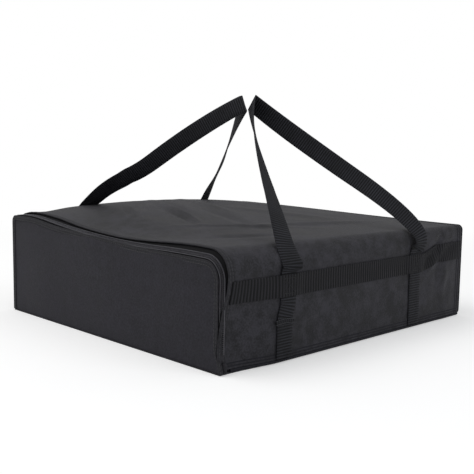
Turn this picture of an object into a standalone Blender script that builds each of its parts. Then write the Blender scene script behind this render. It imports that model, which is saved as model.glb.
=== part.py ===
"""Soft insulated delivery bag for flat boxes.

Units are metres, +Z is up, X runs along the front opening and Y from the front flap to the back.
The origin lies on the floor, under the middle of the bag.
"""

from bisect import bisect_right
from dataclasses import dataclass
from math import atan2, cos, pi, radians, sin

import bmesh
import bpy
from mathutils import Vector

# Overall size of the filled bag
WIDTH = 0.457
DEPTH = 0.480
HEIGHT = 0.135
FRONT_ROLL = 0.034
BACK_ROLL = 0.016
BASE_CORNER = 0.008
ARC_STEPS = 6

# Cloths, boards and the gap between pieces that are sewn together
CLOTH = 0.0012
FOAM = 0.008
TOP_BOARD_LEG = 0.006
LINER = 0.0008
SEAM_GAP = 0.0003

# Corded seams
PIPING = 0.004
PIPING_PROUD = 0.0003
PIPING_LIFT = 0.0006

# Mouth: a hem on the wrap and a facing that closes the edge of the boards. The zipper lies
# along the left side, and along the top it turns into the front, by the mouth's turn
MOUTH_SETBACK = 0.016
MOUTH_TURN = radians(60.0)
HEM_WIDTH = 0.008
FACING = 0.001
FACING_SETBACK = 0.019
TOP_STEPS = 8

# Front flap
FLAP_COVER = 0.001
FLAP_FOAM = 0.006
FLAP_INSET = 0.004
BORDER_CLOTH = 0.0008
BORDER_WIDTH = 0.0065
BORDER_LAP = 0.0027
HINGE_HEIGHT = 0.0006

# Zipper chain, measured from the front plane and from the line where the rows meet
TAPE = 0.0008
ZIP_SETBACK = 0.0075
TOOTH_PITCH = 0.0045
TOOTH_THICKNESS = 0.0024
TOOTH_TIP = 0.0011
TOOTH_LENGTH = 0.0022
TOOTH_REACH = 0.0005
TOOTH_SPINE = 0.0014
ROWS_PARTED = 0.00145
PARTING_RUN = 0.006
TEETH_START = 0.018
END_TAB_HEIGHT = 0.012
END_TAB_THICKNESS = 0.0032
END_TAB_WIDTH = 0.0055

# Slider and pull tab
SLIDER_BASE = 0.038
SLIDER_LENGTH = 0.016
SLIDER_WIDTH = 0.012
SLIDER_CORNER = 0.003
SLIDER_PLATE = 0.0012
SLIDER_FLANGE = 0.0011
SLIDER_WEB = 0.001
SLIDER_WEB_LENGTH = 0.007
SLIDER_SLOT_CLEARANCE = 0.0003
CROWN_WIDTH = 0.0024
CROWN_LENGTH = 0.012
CROWN_HEIGHT = 0.0036
CROWN_STRIP = 0.0009
PIVOT_HEIGHT = 0.00135
PULL_BAR = 0.0016
PULL_EYE_LENGTH = 0.0072
PULL_EYE_WIDTH = 0.0044
PULL_ARM = 0.0014
PULL_WIDTH = 0.009
PULL_LENGTH = 0.038
PULL_SLOT_WIDTH = 0.003
PULL_SLOT_LENGTH = 0.008
PULL_SLOT_MARGIN = 0.004

# Webbing on the sides
WEBBING_WIDTH = 0.0254
WEBBING = 0.0016
BAND_HEIGHT = 0.0895
BAND_FRONT_SETBACK = 0.0155
BAND_BACK_SETBACK = 0.006
BAND_RAMP = 0.010
BAND_CROSS_MARGIN = 0.002
ANCHOR_RISE = 0.010
FRONT_FOOT_SETBACK = 0.0975
BACK_FOOT_SETBACK = 0.1245

# Handle loops: both stand up and lean on each other over the bag
FOOT_LAP = 0.002
PEAK_Y = -0.0125
PEAK_HEIGHT = 0.3045
LEAN_LINE_X = 0.031
LEAN_GAP = 0.0006
PEAK_TILT = radians(43.0)
PEAK_TWIST = radians(90.0)
TWIST_POWER = 2.0
LEG_STEPS = 14

# Overrun of joined pieces into each other, and how near two points are when they weld
OVERRUN = 0.0004
WELD = 0.00001


@dataclass(frozen=True)
class HandleShape:
    """Sizes of one loop: how its legs leave the feet and how they reach the peak."""

    name: str
    side: int
    foot_pull: Vector
    front_pull: Vector
    back_pull: Vector


HANDLES = (
    HandleShape(
        name="handle_right",
        side=1,
        foot_pull=Vector((0.016, 0.0, 0.036)),
        front_pull=Vector((0.024, -0.048, -0.045)),
        back_pull=Vector((0.038, 0.045, -0.048)),
    ),
    HandleShape(
        name="handle_left",
        side=-1,
        foot_pull=Vector((0.024, 0.0, 0.034)),
        front_pull=Vector((0.065, -0.028, -0.044)),
        back_pull=Vector((0.052, 0.063, -0.042)),
    ),
)

# Places that follow from the sizes
FRONT = -DEPTH / 2
BACK = DEPTH / 2
HALF = WIDTH / 2
LAYER_FOAM = CLOTH + SEAM_GAP
LAYER_LINER = LAYER_FOAM + FOAM + SEAM_GAP
LAYER_ROOM = LAYER_LINER + LINER
SEAM_INSET = PIPING - PIPING_PROUD + SEAM_GAP
SEAM_TOP = PIPING_LIFT + PIPING + SEAM_GAP
BOARD_FRONT = FRONT + FACING_SETBACK + FACING + SEAM_GAP
ZIP_Y = FRONT + ZIP_SETBACK
TAPE_REACH = TOOTH_SPINE + TOOTH_LENGTH - TOOTH_REACH + SEAM_GAP
BODY_TAPE = MOUTH_SETBACK - ZIP_SETBACK
CHAIN_INSET = LAYER_FOAM + TAPE / 2
FRONT_FOOT_Y = FRONT + FRONT_FOOT_SETBACK
BACK_FOOT_Y = BACK - BACK_FOOT_SETBACK
BAND_TOP = BAND_HEIGHT + WEBBING_WIDTH / 2
FOOT_X = HALF + SEAM_GAP + WEBBING + SEAM_GAP + WEBBING / 2
ANCHOR_TOP = BAND_TOP + ANCHOR_RISE
FOOT_HEIGHT = ANCHOR_TOP - FOOT_LAP
SLIDER_TOP = SLIDER_BASE + SLIDER_LENGTH
CHANNEL_HALF = TOOTH_THICKNESS / 2 + SLIDER_SLOT_CLEARANCE


def clear_scene():
    """Remove every object of the scene."""
    for found in list(bpy.data.objects):
        bpy.data.objects.remove(found, do_unlink=True)


def new_collection(name):
    """Return a collection that is linked to the scene."""
    made = bpy.data.collections.new(name)
    bpy.context.scene.collection.children.link(made)
    return made


def new_material(name, colour, roughness, metallic=0.0):
    """Return a Principled material."""
    made = bpy.data.materials.new(name)
    made.use_nodes = True
    shader = made.node_tree.nodes["Principled BSDF"]
    shader.inputs["Base Color"].default_value = (*colour, 1.0)
    shader.inputs["Roughness"].default_value = roughness
    shader.inputs["Metallic"].default_value = metallic
    return made


def add_mesh(name, points, faces, material, collection):
    """Return an object with the given points and faces."""
    mesh = bpy.data.meshes.new(name)
    mesh.from_pydata([tuple(point) for point in points], [], faces)
    mesh.materials.append(material)
    made = bpy.data.objects.new(name, mesh)
    collection.objects.link(made)
    return made


def add_sheet(name, rows, thickness, material, collection, side=-1.0):
    """Return a thin sheet: an open grid of points, thickened to the given side of its face."""
    count = len(rows[0])
    points = [point for row in rows for point in row]
    faces = []
    for row in range(len(rows) - 1):
        for column in range(count - 1):
            first = row * count + column
            faces.append((first, first + 1, first + count + 1, first + count))
    made = add_mesh(name, points, faces, material, collection)
    solid = made.modifiers.new("thickness", "SOLIDIFY")
    solid.thickness = thickness
    solid.offset = side
    solid.use_even_offset = True
    return made


def add_box(name, low, high, material, collection):
    """Return a box between two corners."""
    low = Vector(low)
    high = Vector(high)
    mesh = bpy.data.meshes.new(name)
    shape = bmesh.new()
    bmesh.ops.create_cube(shape, size=1.0)
    bmesh.ops.scale(shape, vec=high - low, verts=shape.verts)
    shape.to_mesh(mesh)
    shape.free()
    mesh.materials.append(material)
    made = bpy.data.objects.new(name, mesh)
    made.location = (low + high) / 2
    collection.objects.link(made)
    return made


def add_outline(name, outlines, thickness, place, turn, material, collection):
    """Return a flat piece: closed outlines, filled and given a thickness about their plane."""
    curve = bpy.data.curves.new(name, "CURVE")
    curve.dimensions = "2D"
    curve.fill_mode = "BOTH"
    curve.extrude = thickness / 2
    for outline in outlines:
        add_spline(curve, [(x, y, 0.0) for x, y in outline], closed=True)
    curve.materials.append(material)
    made = bpy.data.objects.new(name, curve)
    made.location = place
    made.rotation_euler = turn
    collection.objects.link(made)
    return made


def add_spline(curve, points, closed):
    """Add a straight-sided spline through the points to a curve."""
    spline = curve.splines.new("POLY")
    spline.points.add(len(points) - 1)
    for target, point in zip(spline.points, points):
        target.co = (*point, 1.0)
    spline.use_cyclic_u = closed


def add_cord(name, points, closed, material, collection):
    """Return the piped cord of a seam along the points."""
    curve = bpy.data.curves.new(name, "CURVE")
    curve.dimensions = "3D"
    curve.bevel_depth = PIPING / 2
    curve.bevel_resolution = 2
    curve.use_fill_caps = True
    add_spline(curve, points, closed)
    curve.materials.append(material)
    made = bpy.data.objects.new(name, curve)
    collection.objects.link(made)
    return made


UPRIGHT_XZ = (pi / 2, 0.0, 0.0)
UPRIGHT_YZ = (pi / 2, 0.0, pi / 2)


def roll_at(y):
    """Return the wrap's roll-over radius, which shrinks from the front to the back."""
    return FRONT_ROLL + (BACK_ROLL - FRONT_ROLL) * (y - FRONT) / DEPTH


def quarter(centre, radius, start, end):
    """Return points on a quarter round, from a start angle to an end angle."""
    turns = [start + (end - start) * step / ARC_STEPS for step in range(ARC_STEPS + 1)]
    return [(centre[0] + radius * cos(turn), centre[1] + radius * sin(turn)) for turn in turns]


def roll_over(inset, y):
    """Return the rounded top of the wrap at a depth, from the left side over to the right."""
    radius = roll_at(y) - inset
    reach = HALF - inset - radius
    rise = HEIGHT - inset - radius
    left = quarter((-reach, rise), radius, pi, pi / 2)
    right = quarter((reach, rise), radius, pi / 2, 0.0)
    return left + right


def back_section(inset):
    """Return the closed section at the back, with its rounded bottom corners, at an inset."""
    radius = BASE_CORNER - inset
    reach = HALF - BASE_CORNER
    rise = PIPING_LIFT + PIPING_PROUD + BASE_CORNER
    right = quarter((reach, rise), radius, 0.0, -pi / 2)
    left = quarter((-reach, rise), radius, -pi / 2, -pi)
    return roll_over(inset, BACK) + right + left


def arch(inset, floor, y):
    """Return the wrap's section at a depth: up the left side, over the top and down the right."""
    side = HALF - inset
    return [(-side, floor)] + roll_over(inset, y) + [(side, floor)]


def arch_rows(inset, floor, depths):
    """Return rows of points for a layer of the wrap at the given depths."""
    return [[(x, y, z) for x, z in arch(inset, floor, y)] for y in depths]


@dataclass(frozen=True)
class Station:
    """A place round the mouth.

    across is the share of the way from the middle to the roll-over, angle is that of the
    outward normal in X and Z, turn is that of the zipper, and height is set on the sides.
    """

    across: float
    angle: float
    turn: float
    height: float | None = None

    def normal(self):
        """Return the outward normal of the wrap."""
        return Vector((cos(self.angle), 0.0, sin(self.angle)))

    def back(self):
        """Return the direction across the zipper, from the flap to the wrap."""
        return cos(self.turn) * DEEP + sin(self.turn) * self.normal()

    def out(self):
        """Return the direction out of the zipper's face."""
        return cos(self.turn) * self.normal() - sin(self.turn) * DEEP

    def place(self, inset, y):
        """Return the place at an inset from the wrap's outer face, at a depth."""
        roll = roll_at(y)
        corner = Vector((self.across * (HALF - roll), y, HEIGHT - roll))
        found = corner + (roll - inset) * self.normal()
        if self.height is not None:
            found.z = self.height
        return found

    def chain(self):
        """Return the place on the line where the two rows of teeth meet."""
        found = self.place(CHAIN_INSET + BODY_TAPE * sin(self.turn), ZIP_Y)
        found.y = FRONT + ZIP_SETBACK * cos(self.turn)
        return found

    def hem(self):
        """Return the depth of the hem's front edge."""
        return FRONT + MOUTH_SETBACK * cos(self.turn)

    def flap(self):
        """Return the inset of the flap's edge."""
        return LAYER_FOAM + (MOUTH_SETBACK - BORDER_LAP) * sin(self.turn)


DEEP = Vector((0.0, 1.0, 0.0))


def stations(floor, left_heights=()):
    """Return the stations from the left foot of the mouth, over the top, to its right foot."""
    found = [Station(-1.0, pi, 0.0, height) for height in (floor, *left_heights)]
    for step in range(ARC_STEPS + 1):
        found.append(Station(-1.0, pi - pi / 2 * step / ARC_STEPS, 0.0))
    for step in range(1, TOP_STEPS):
        share = step / TOP_STEPS
        found.append(Station(2 * share - 1.0, pi / 2, MOUTH_TURN * share))
    for step in range(ARC_STEPS + 1):
        found.append(Station(1.0, pi / 2 - pi / 2 * step / ARC_STEPS, MOUTH_TURN))
    found.append(Station(1.0, 0.0, MOUTH_TURN, floor))
    return found


class ChainLine:
    """The line where the rows of teeth meet, measured from its left foot."""

    def __init__(self, floor):
        """Measure the line between the stations."""
        self.stations = stations(floor)
        self.places = [station.chain() for station in self.stations]
        self.lengths = [0.0]
        for first, second in zip(self.places, self.places[1:]):
            self.lengths.append(self.lengths[-1] + (second - first).length)

    def full(self):
        """Return the whole length."""
        return self.lengths[-1]

    def at(self, length):
        """Return the place, the direction across and the direction out at a length."""
        index = min(bisect_right(self.lengths, length), len(self.lengths) - 1) - 1
        share = (length - self.lengths[index]) / (self.lengths[index + 1] - self.lengths[index])
        first = self.stations[index]
        second = self.stations[index + 1]
        place = self.places[index].lerp(self.places[index + 1], share)
        out = first.out().lerp(second.out(), share).normalized()
        back = first.back().lerp(second.back(), share)
        back = (back - back.dot(out) * out).normalized()
        return place, back, out


def side_place(side, outwards):
    """Return X at a distance outwards from the plane of a side."""
    return side * (HALF + outwards)


def build_wrap(materials, parts):
    """Make the cloth over the top and sides, its hem and the closing panels."""
    cloth = materials["cloth"]
    round_mouth = stations(SEAM_TOP)
    hem_front = [station.place(0.0, station.hem()) for station in round_mouth]
    hem_back = [station.place(0.0, station.hem() + HEM_WIDTH) for station in round_mouth]
    add_sheet("mouth_hem", [hem_front, hem_back], CLOTH, materials["binding"], parts)
    clear = HEM_WIDTH + SEAM_GAP
    wrap_front = [station.place(0.0, station.hem() + clear) for station in round_mouth]
    wrap_back = [station.place(0.0, BACK - SEAM_INSET) for station in round_mouth]
    add_sheet("outer_wrap", [wrap_front, wrap_back], CLOTH, cloth, parts)
    cover_place = (0.0, BACK - CLOTH / 2, 0.0)
    outline = back_section(SEAM_INSET)
    add_outline("back_cover", [outline], CLOTH, cover_place, UPRIGHT_XZ, cloth, parts)
    side = HALF - SEAM_INSET
    low = (-side, FRONT + SEAM_GAP, 0.0)
    add_box("bottom_cover", low, (side, BACK - SEAM_INSET, CLOTH), cloth, parts)


def build_piping(materials, parts):
    """Make the cord round the back panel and the two along the bottom."""
    inset = PIPING / 2 - PIPING_PROUD
    height = PIPING_LIFT + PIPING / 2
    side = HALF - inset
    points = [(x, BACK - inset, z) for x, z in back_section(inset)]
    add_cord("back_piping", points, True, materials["binding"], parts)
    for name, x in (("bottom_piping_left", -side), ("bottom_piping_right", side)):
        ends = [(x, BOARD_FRONT, height), (x, BACK - SEAM_INSET, height)]
        add_cord(name, ends, False, materials["binding"], parts)


def build_boards(materials, parts):
    """Make the foam boards behind the cloth."""
    board_back = BACK - LAYER_LINER
    depths = (BOARD_FRONT, board_back)
    top = [arch_rows(LAYER_FOAM, HEIGHT - roll_at(y) - TOP_BOARD_LEG, (y,))[0] for y in depths]
    add_sheet("foam_top", top, FOAM, materials["foam"], parts)
    for name, side in (("foam_left", -1), ("foam_right", 1)):
        x = side_place(side, -LAYER_FOAM)
        rows = []
        for y in depths:
            heights = (SEAM_TOP, HEIGHT - roll_at(y) - TOP_BOARD_LEG - SEAM_GAP)
            rows.append([(x, y, z) for z in heights[::-side]])
        add_sheet(name, rows, FOAM, materials["foam"], parts)
    side = HALF - LAYER_LINER
    low = (-side, BOARD_FRONT, LAYER_FOAM)
    add_box("foam_bottom", low, (side, board_back, LAYER_FOAM + FOAM), materials["foam"], parts)
    place = (0.0, BACK - LAYER_FOAM - FOAM / 2, 0.0)
    outline = back_section(SEAM_INSET)
    add_outline("foam_back", [outline], FOAM, place, UPRIGHT_XZ, materials["foam"], parts)


def build_liner(materials, parts):
    """Make the liner of the box space and the facing round its mouth."""
    room_back = BACK - LAYER_ROOM - SEAM_GAP
    rows = arch_rows(LAYER_LINER, LAYER_LINER, (BOARD_FRONT, room_back))
    add_sheet("liner_wrap", rows, LINER, materials["liner"], parts)
    side = HALF - LAYER_ROOM - SEAM_GAP
    low = (-side, BOARD_FRONT, LAYER_LINER)
    add_box("liner_bottom", low, (side, room_back, LAYER_ROOM), materials["liner"], parts)
    place = (0.0, BACK - LAYER_LINER - LINER / 2, 0.0)
    outline = arch(LAYER_LINER, LAYER_LINER, BACK)
    add_outline("liner_back", [outline], LINER, place, UPRIGHT_XZ, materials["liner"], parts)
    facing_y = FRONT + FACING_SETBACK + FACING / 2
    outer = arch(LAYER_FOAM, LAYER_FOAM, facing_y)
    inner = arch(LAYER_ROOM, LAYER_ROOM, facing_y)
    place = (0.0, facing_y, 0.0)
    facing = [outer, inner]
    add_outline("mouth_facing", facing, FACING, place, UPRIGHT_XZ, materials["binding"], parts)


def parting(x, z):
    """Return how far each teeth row stands back from the other, where the slider runs."""
    if x > 0.0:
        return 0.0
    share = (HEIGHT - roll_at(ZIP_Y) - z) / PARTING_RUN
    return ROWS_PARTED * min(max(share, 0.0), 1.0)


def add_teeth(name, towards, start, end, shift, material, collection):
    """Return a row of tapered teeth on a spine, bent round the mouth.

    towards is -1 for the row that points to the flap and 1 for the row that points to the back.
    """
    line = ChainLine(TEETH_START)
    pitches = int((end - start) / TOOTH_PITCH)
    lengths = [start + (index + shift) * TOOTH_PITCH for index in range(pitches + 1)]
    shape = bmesh.new()
    rings = [ring_on_chain(shape, line, length, towards) for length in lengths]
    roots = []
    for first, second in zip(rings, rings[1:]):
        for side in range(4):
            other = (side + 1) % 4
            face = shape.faces.new((first[side], first[other], second[other], second[side]))
            if side == 0:
                roots.append(face)
    shape.faces.new(rings[0][::-1])
    shape.faces.new(rings[-1])
    for root, length in zip(roots, lengths):
        grow_tooth(shape, root, line, length + TOOTH_PITCH / 2, towards)
    bmesh.ops.recalc_face_normals(shape, faces=shape.faces)
    mesh = bpy.data.meshes.new(name)
    shape.to_mesh(mesh)
    shape.free()
    mesh.materials.append(material)
    made = bpy.data.objects.new(name, mesh)
    collection.objects.link(made)
    return made


def ring_on_chain(shape, line, length, towards):
    """Add the four corners of the spine at a length along the chain."""
    place, back, out = line.at(length)
    apart = parting(place.x, place.z)
    root = -towards * (TOOTH_LENGTH - TOOTH_REACH + apart)
    heel = root - towards * TOOTH_SPINE
    corners = []
    for across, up in ((root, 1), (root, -1), (heel, -1), (heel, 1)):
        corners.append(shape.verts.new(place + across * back + up * out * TOOTH_THICKNESS / 2))
    return corners


def grow_tooth(shape, root, line, length, towards):
    """Draw one tooth out of a root face and taper it to its tip."""
    grown = bmesh.ops.extrude_discrete_faces(shape, faces=[root])["faces"][0]
    place, back, out = line.at(length)
    along = out.cross(back)
    middle = place + towards * (TOOTH_REACH - parting(place.x, place.z)) * back
    for vertex in grown.verts:
        step = vertex.co - place
        side = 1.0 if step.dot(along) > 0.0 else -1.0
        up = 1.0 if step.dot(out) > 0.0 else -1.0
        vertex.co = middle + along * side * TOOTH_TIP / 2 + out * up * TOOTH_THICKNESS / 2


def tape_stations(floor):
    """Return the stations of a tape, one of them where the parting of the rows ends."""
    return stations(floor, (HEIGHT - roll_at(ZIP_Y) - PARTING_RUN,))


def beside_teeth(found, towards):
    """Return the edge of a tape beside its teeth: towards is -1 on the flap, 1 on the wrap."""
    edge = []
    for station in found:
        place = station.chain()
        reach = TAPE_REACH + parting(place.x, place.z)
        edge.append(place + towards * reach * station.back())
    return edge


def build_zipper(materials, parts):
    """Make the body side of the zipper: tape, teeth and end tabs."""
    tab_top = LAYER_FOAM + END_TAB_HEIGHT
    found = tape_stations(tab_top + SEAM_GAP)
    bend = [station.chain() + BODY_TAPE * station.back() for station in found]
    tape_back = FRONT + FACING_SETBACK - SEAM_GAP
    under_hem = [station.place(CHAIN_INSET, tape_back) for station in found]
    rows = [beside_teeth(found, 1), bend, under_hem]
    add_sheet("zipper_tape_body", rows, TAPE, materials["tape"], parts, side=0.0)
    full = ChainLine(TEETH_START).full()
    add_teeth("zipper_teeth_body", -1, 0.0, full, 0.0, materials["teeth"], parts)
    across = BODY_TAPE - SEAM_GAP - END_TAB_WIDTH / 2
    proud = CHAIN_INSET + PIPING_PROUD - END_TAB_THICKNESS / 2
    half = Vector((END_TAB_THICKNESS, END_TAB_WIDTH, END_TAB_HEIGHT)) / 2
    for name, foot in (("zipper_end_tab_left", found[0]), ("zipper_end_tab_right", found[-1])):
        out = foot.out()
        middle = foot.chain() + across * foot.back() + proud * out
        middle.z = LAYER_FOAM + END_TAB_HEIGHT / 2
        tab = add_box(name, middle - half, middle + half, materials["binding"], parts)
        tab.rotation_euler.z = atan2(out.y, out.x)


def flap_outline(inset, floor):
    """Return the outline of a piece of the flap in X and Z, at an inset from the flap's edge."""
    places = [station.place(station.flap() + inset, ZIP_Y) for station in stations(floor)]
    return [(place.x, place.z) for place in places]


FLAP_LAYERS = (
    ("flap_cover", FLAP_COVER, "cloth"),
    ("flap_foam", FLAP_FOAM, "foam"),
    ("flap_liner", LINER, "liner"),
)


def build_flap(materials, parts):
    """Make the padded front flap with its half of the zipper, carried by the bottom hinge line."""
    hinge = bpy.data.objects.new("flap_hinge_line", None)
    hinge.location = (0.0, FRONT, HINGE_HEIGHT)
    parts.objects.link(hinge)
    floor = LAYER_FOAM
    pieces = []
    place = (0.0, FRONT + BORDER_CLOTH / 2, 0.0)
    strip = [flap_outline(0.0, floor) + flap_outline(BORDER_WIDTH, floor)[::-1]]
    binding = materials["binding"]
    border = add_outline("flap_border", strip, BORDER_CLOTH, place, UPRIGHT_XZ, binding, parts)
    pieces.append(border)
    outline = flap_outline(FLAP_INSET, floor)
    front = FRONT + BORDER_CLOTH + SEAM_GAP
    for name, thickness, slot in FLAP_LAYERS:
        place = (0.0, front + thickness / 2, 0.0)
        layer = add_outline(name, [outline], thickness, place, UPRIGHT_XZ, materials[slot], parts)
        pieces.append(layer)
        front += thickness + SEAM_GAP
    found = tape_stations(floor)
    behind = BORDER_CLOTH + SEAM_GAP + TAPE / 2
    under_border = []
    for station in found:
        reach = behind / cos(station.turn) - ZIP_SETBACK
        under_border.append(station.chain() + reach * station.back())
    rows = [under_border, beside_teeth(found, -1)]
    tape = add_sheet("zipper_tape_flap", rows, TAPE, materials["tape"], parts, side=0.0)
    pieces.append(tape)
    start = SLIDER_TOP + TOOTH_PITCH / 2 - TEETH_START
    full = ChainLine(TEETH_START).full()
    first = round(start / TOOTH_PITCH) * TOOTH_PITCH
    teeth = add_teeth("zipper_teeth_flap", 1, first, full - TOOTH_PITCH, 0.5, materials["teeth"], parts)
    pieces.append(teeth)
    for piece in pieces:
        piece.parent = hinge
        piece.location = Vector(piece.location) - hinge.location


def slider_outline():
    """Return the rounded outline of a slider plate in Y and Z about the plate's middle."""
    half = SLIDER_WIDTH / 2 - SLIDER_CORNER
    rise = SLIDER_LENGTH / 2 - SLIDER_CORNER
    points = quarter((half, rise), SLIDER_CORNER, 0.0, pi / 2)
    points += quarter((-half, rise), SLIDER_CORNER, pi / 2, pi)
    points += quarter((-half, -rise), SLIDER_CORNER, pi, 3 * pi / 2)
    points += quarter((half, -rise), SLIDER_CORNER, 3 * pi / 2, 2 * pi)
    return points


def crown_outline():
    """Return the crown, a low arch in X and Z over the slider's outer plate."""
    outer = half_round(CROWN_HEIGHT + OVERRUN, CROWN_LENGTH / 2)
    inner = half_round(CROWN_HEIGHT + OVERRUN - CROWN_STRIP, CROWN_LENGTH / 2 - CROWN_STRIP)
    return outer + inner[::-1]


def half_round(height, half_length):
    """Return half an oval that bulges towards -X, from its lower end to its upper end."""
    turns = [-pi / 2 + pi * step / (2 * ARC_STEPS) for step in range(2 * ARC_STEPS + 1)]
    return [(-height * cos(turn), half_length * sin(turn)) for turn in turns]


def as_mesh(made, collection):
    """Return a mesh copy of a curve object with its caps welded, and remove the curve."""
    bpy.context.view_layer.update()
    depsgraph = bpy.context.evaluated_depsgraph_get()
    mesh = bpy.data.meshes.new_from_object(made.evaluated_get(depsgraph))
    shape = bmesh.new()
    shape.from_mesh(mesh)
    bmesh.ops.remove_doubles(shape, verts=shape.verts, dist=WELD)
    bmesh.ops.recalc_face_normals(shape, faces=shape.faces)
    shape.to_mesh(mesh)
    shape.free()
    name = made.name
    matrix = made.matrix_world.copy()
    bpy.data.objects.remove(made, do_unlink=True)
    copy = bpy.data.objects.new(name, mesh)
    copy.matrix_world = matrix
    collection.objects.link(copy)
    return copy


def build_slider(materials, parts, joined):
    """Make the slider: two plates, a web between them, edge flanges and the crown."""
    metal = materials["metal"]
    chain_x = side_place(-1, -CHAIN_INSET)
    middle = Vector((chain_x, ZIP_Y, SLIDER_BASE + SLIDER_LENGTH / 2))
    plate_middle = CHANNEL_HALF + SLIDER_PLATE / 2
    outline = slider_outline()
    outer_place = middle - Vector((plate_middle, 0.0, 0.0))
    outer = add_outline("slider", [outline], SLIDER_PLATE, outer_place, UPRIGHT_YZ, metal, parts)
    outer = as_mesh(outer, parts)
    place = middle + Vector((plate_middle, 0.0, 0.0))
    plate = [outline]
    inner = add_outline("slider_inner_plate", plate, SLIDER_PLATE, place, UPRIGHT_YZ, metal, joined)
    inner = as_mesh(inner, joined)
    reach = CHANNEL_HALF + OVERRUN
    web_half = SLIDER_WEB / 2
    web_low = middle + Vector((-reach, -web_half, -SLIDER_LENGTH / 2 + OVERRUN))
    web_high = middle + Vector((reach, web_half, SLIDER_WEB_LENGTH - SLIDER_LENGTH / 2))
    web = add_box("slider_web", web_low, web_high, metal, joined)
    flanges = [flange(name, middle, across, deep, metal, joined) for name, across, deep in FLANGES]
    crown_x = chain_x - CHANNEL_HALF - SLIDER_PLATE + OVERRUN
    crown_place = (crown_x, ZIP_Y, middle.z)
    arc = [crown_outline()]
    crown = add_outline("slider_crown", arc, CROWN_WIDTH, crown_place, UPRIGHT_XZ, metal, joined)
    crown = as_mesh(crown, joined)
    for piece in (inner, web, crown, *flanges):
        join_piece(outer, piece)
    return outer


FLANGES = (
    ("slider_flange_front_outer", -1, -1),
    ("slider_flange_front_inner", -1, 1),
    ("slider_flange_back_outer", 1, -1),
    ("slider_flange_back_inner", 1, 1),
)


def flange(name, middle, across, deep, metal, joined):
    """Return one edge flange, which leaves a slot for the tape beside the chain."""
    half = SLIDER_WIDTH / 2 - OVERRUN / 2
    rise = SLIDER_LENGTH / 2 - SLIDER_CORNER
    slot = TAPE / 2 + SLIDER_SLOT_CLEARANCE
    y_ends = sorted((across * half, across * (half - SLIDER_FLANGE)))
    x_ends = sorted((deep * slot, deep * (CHANNEL_HALF + OVERRUN)))
    low = middle + Vector((x_ends[0], y_ends[0], -rise))
    high = middle + Vector((x_ends[1], y_ends[1], rise))
    return add_box(name, low, high, metal, joined)


def join_piece(target, piece):
    """Join a hidden piece to its target."""
    piece.hide_render = True
    piece.display_type = "WIRE"
    union = target.modifiers.new(piece.name, "BOOLEAN")
    union.operation = "UNION"
    union.object = piece


def pull_outline():
    """Return the outline of the pull tab in Y and Z below its pivot bar, and its two holes."""
    bar = PULL_BAR / 2
    neck = PULL_EYE_WIDTH / 2 + PULL_ARM
    half = PULL_WIDTH / 2
    shoulder = -PULL_EYE_LENGTH - PULL_BAR
    end = -PULL_LENGTH
    outer = [(neck, bar), (-neck, bar), (-neck, -PULL_EYE_LENGTH), (-half, shoulder)]
    outer += quarter((SLIDER_CORNER - half, end + SLIDER_CORNER), SLIDER_CORNER, pi, 3 * pi / 2)
    outer += quarter((half - SLIDER_CORNER, end + SLIDER_CORNER), SLIDER_CORNER, 3 * pi / 2, 2 * pi)
    outer += [(half, shoulder), (neck, -PULL_EYE_LENGTH)]
    eye = PULL_EYE_WIDTH / 2
    eye_hole = [(-eye, -bar), (eye, -bar), (eye, -PULL_EYE_LENGTH), (-eye, -PULL_EYE_LENGTH)]
    slot = PULL_SLOT_WIDTH / 2
    low = end + PULL_SLOT_MARGIN
    high = low + PULL_SLOT_LENGTH
    slot_hole = [(-slot, low), (slot, low), (slot, high), (-slot, high)]
    return [outer, eye_hole, slot_hole]


def build_pull(materials, parts):
    """Make the pull tab, which hangs from the bar under the slider's crown."""
    pivot_x = side_place(-1, -CHAIN_INSET) - CHANNEL_HALF - SLIDER_PLATE - PIVOT_HEIGHT
    pivot = (pivot_x, ZIP_Y, SLIDER_BASE + SLIDER_LENGTH / 2)
    outline = pull_outline()
    return add_outline("pull_tab", outline, PULL_BAR, pivot, UPRIGHT_YZ, materials["metal"], parts)


def build_webbing(materials, parts):
    """Make the side bands and the anchors that run down under them."""
    for label, side in (("left", -1), ("right", 1)):
        add_band("side_band_" + label, side, materials["webbing"], parts)
        for end, foot in (("front", FRONT_FOOT_Y), ("back", BACK_FOOT_Y)):
            inner = side_place(side, SEAM_GAP)
            outer = side_place(side, SEAM_GAP + WEBBING)
            low = (min(inner, outer), foot - WEBBING_WIDTH / 2, SEAM_TOP)
            high = (max(inner, outer), foot + WEBBING_WIDTH / 2, ANCHOR_TOP)
            add_box("anchor_" + label + "_" + end, low, high, materials["webbing"], parts)


def add_band(name, side, material, parts):
    """Return a side band, which steps out over the two anchors."""
    low = SEAM_GAP + WEBBING
    high = low + SEAM_GAP + WEBBING
    reach = WEBBING_WIDTH / 2 + BAND_CROSS_MARGIN
    stations = [(FRONT + BAND_FRONT_SETBACK, low)]
    for foot in (FRONT_FOOT_Y, BACK_FOOT_Y):
        stations += [(foot - reach - BAND_RAMP, low), (foot - reach, high)]
        stations += [(foot + reach, high), (foot + reach + BAND_RAMP, low)]
    stations.append((BACK - BAND_BACK_SETBACK, low))
    heights = (BAND_HEIGHT - WEBBING_WIDTH / 2, BAND_TOP)
    rows = [[(side_place(side, out), y, z) for z in heights[::-side]] for y, out in stations]
    return add_sheet(name, rows, WEBBING, material, parts)


def leg_points(foot, foot_pull, peak, pull):
    """Return points on a leg of a loop: a cubic from its foot to the peak."""
    rise = foot + foot_pull
    bend = peak + pull
    points = []
    for step in range(LEG_STEPS + 1):
        share = step / LEG_STEPS
        rest = 1.0 - share
        start = foot * rest ** 3 + rise * 3 * share * rest ** 2
        points.append(start + bend * 3 * share ** 2 * rest + peak * share ** 3)
    return points


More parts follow.
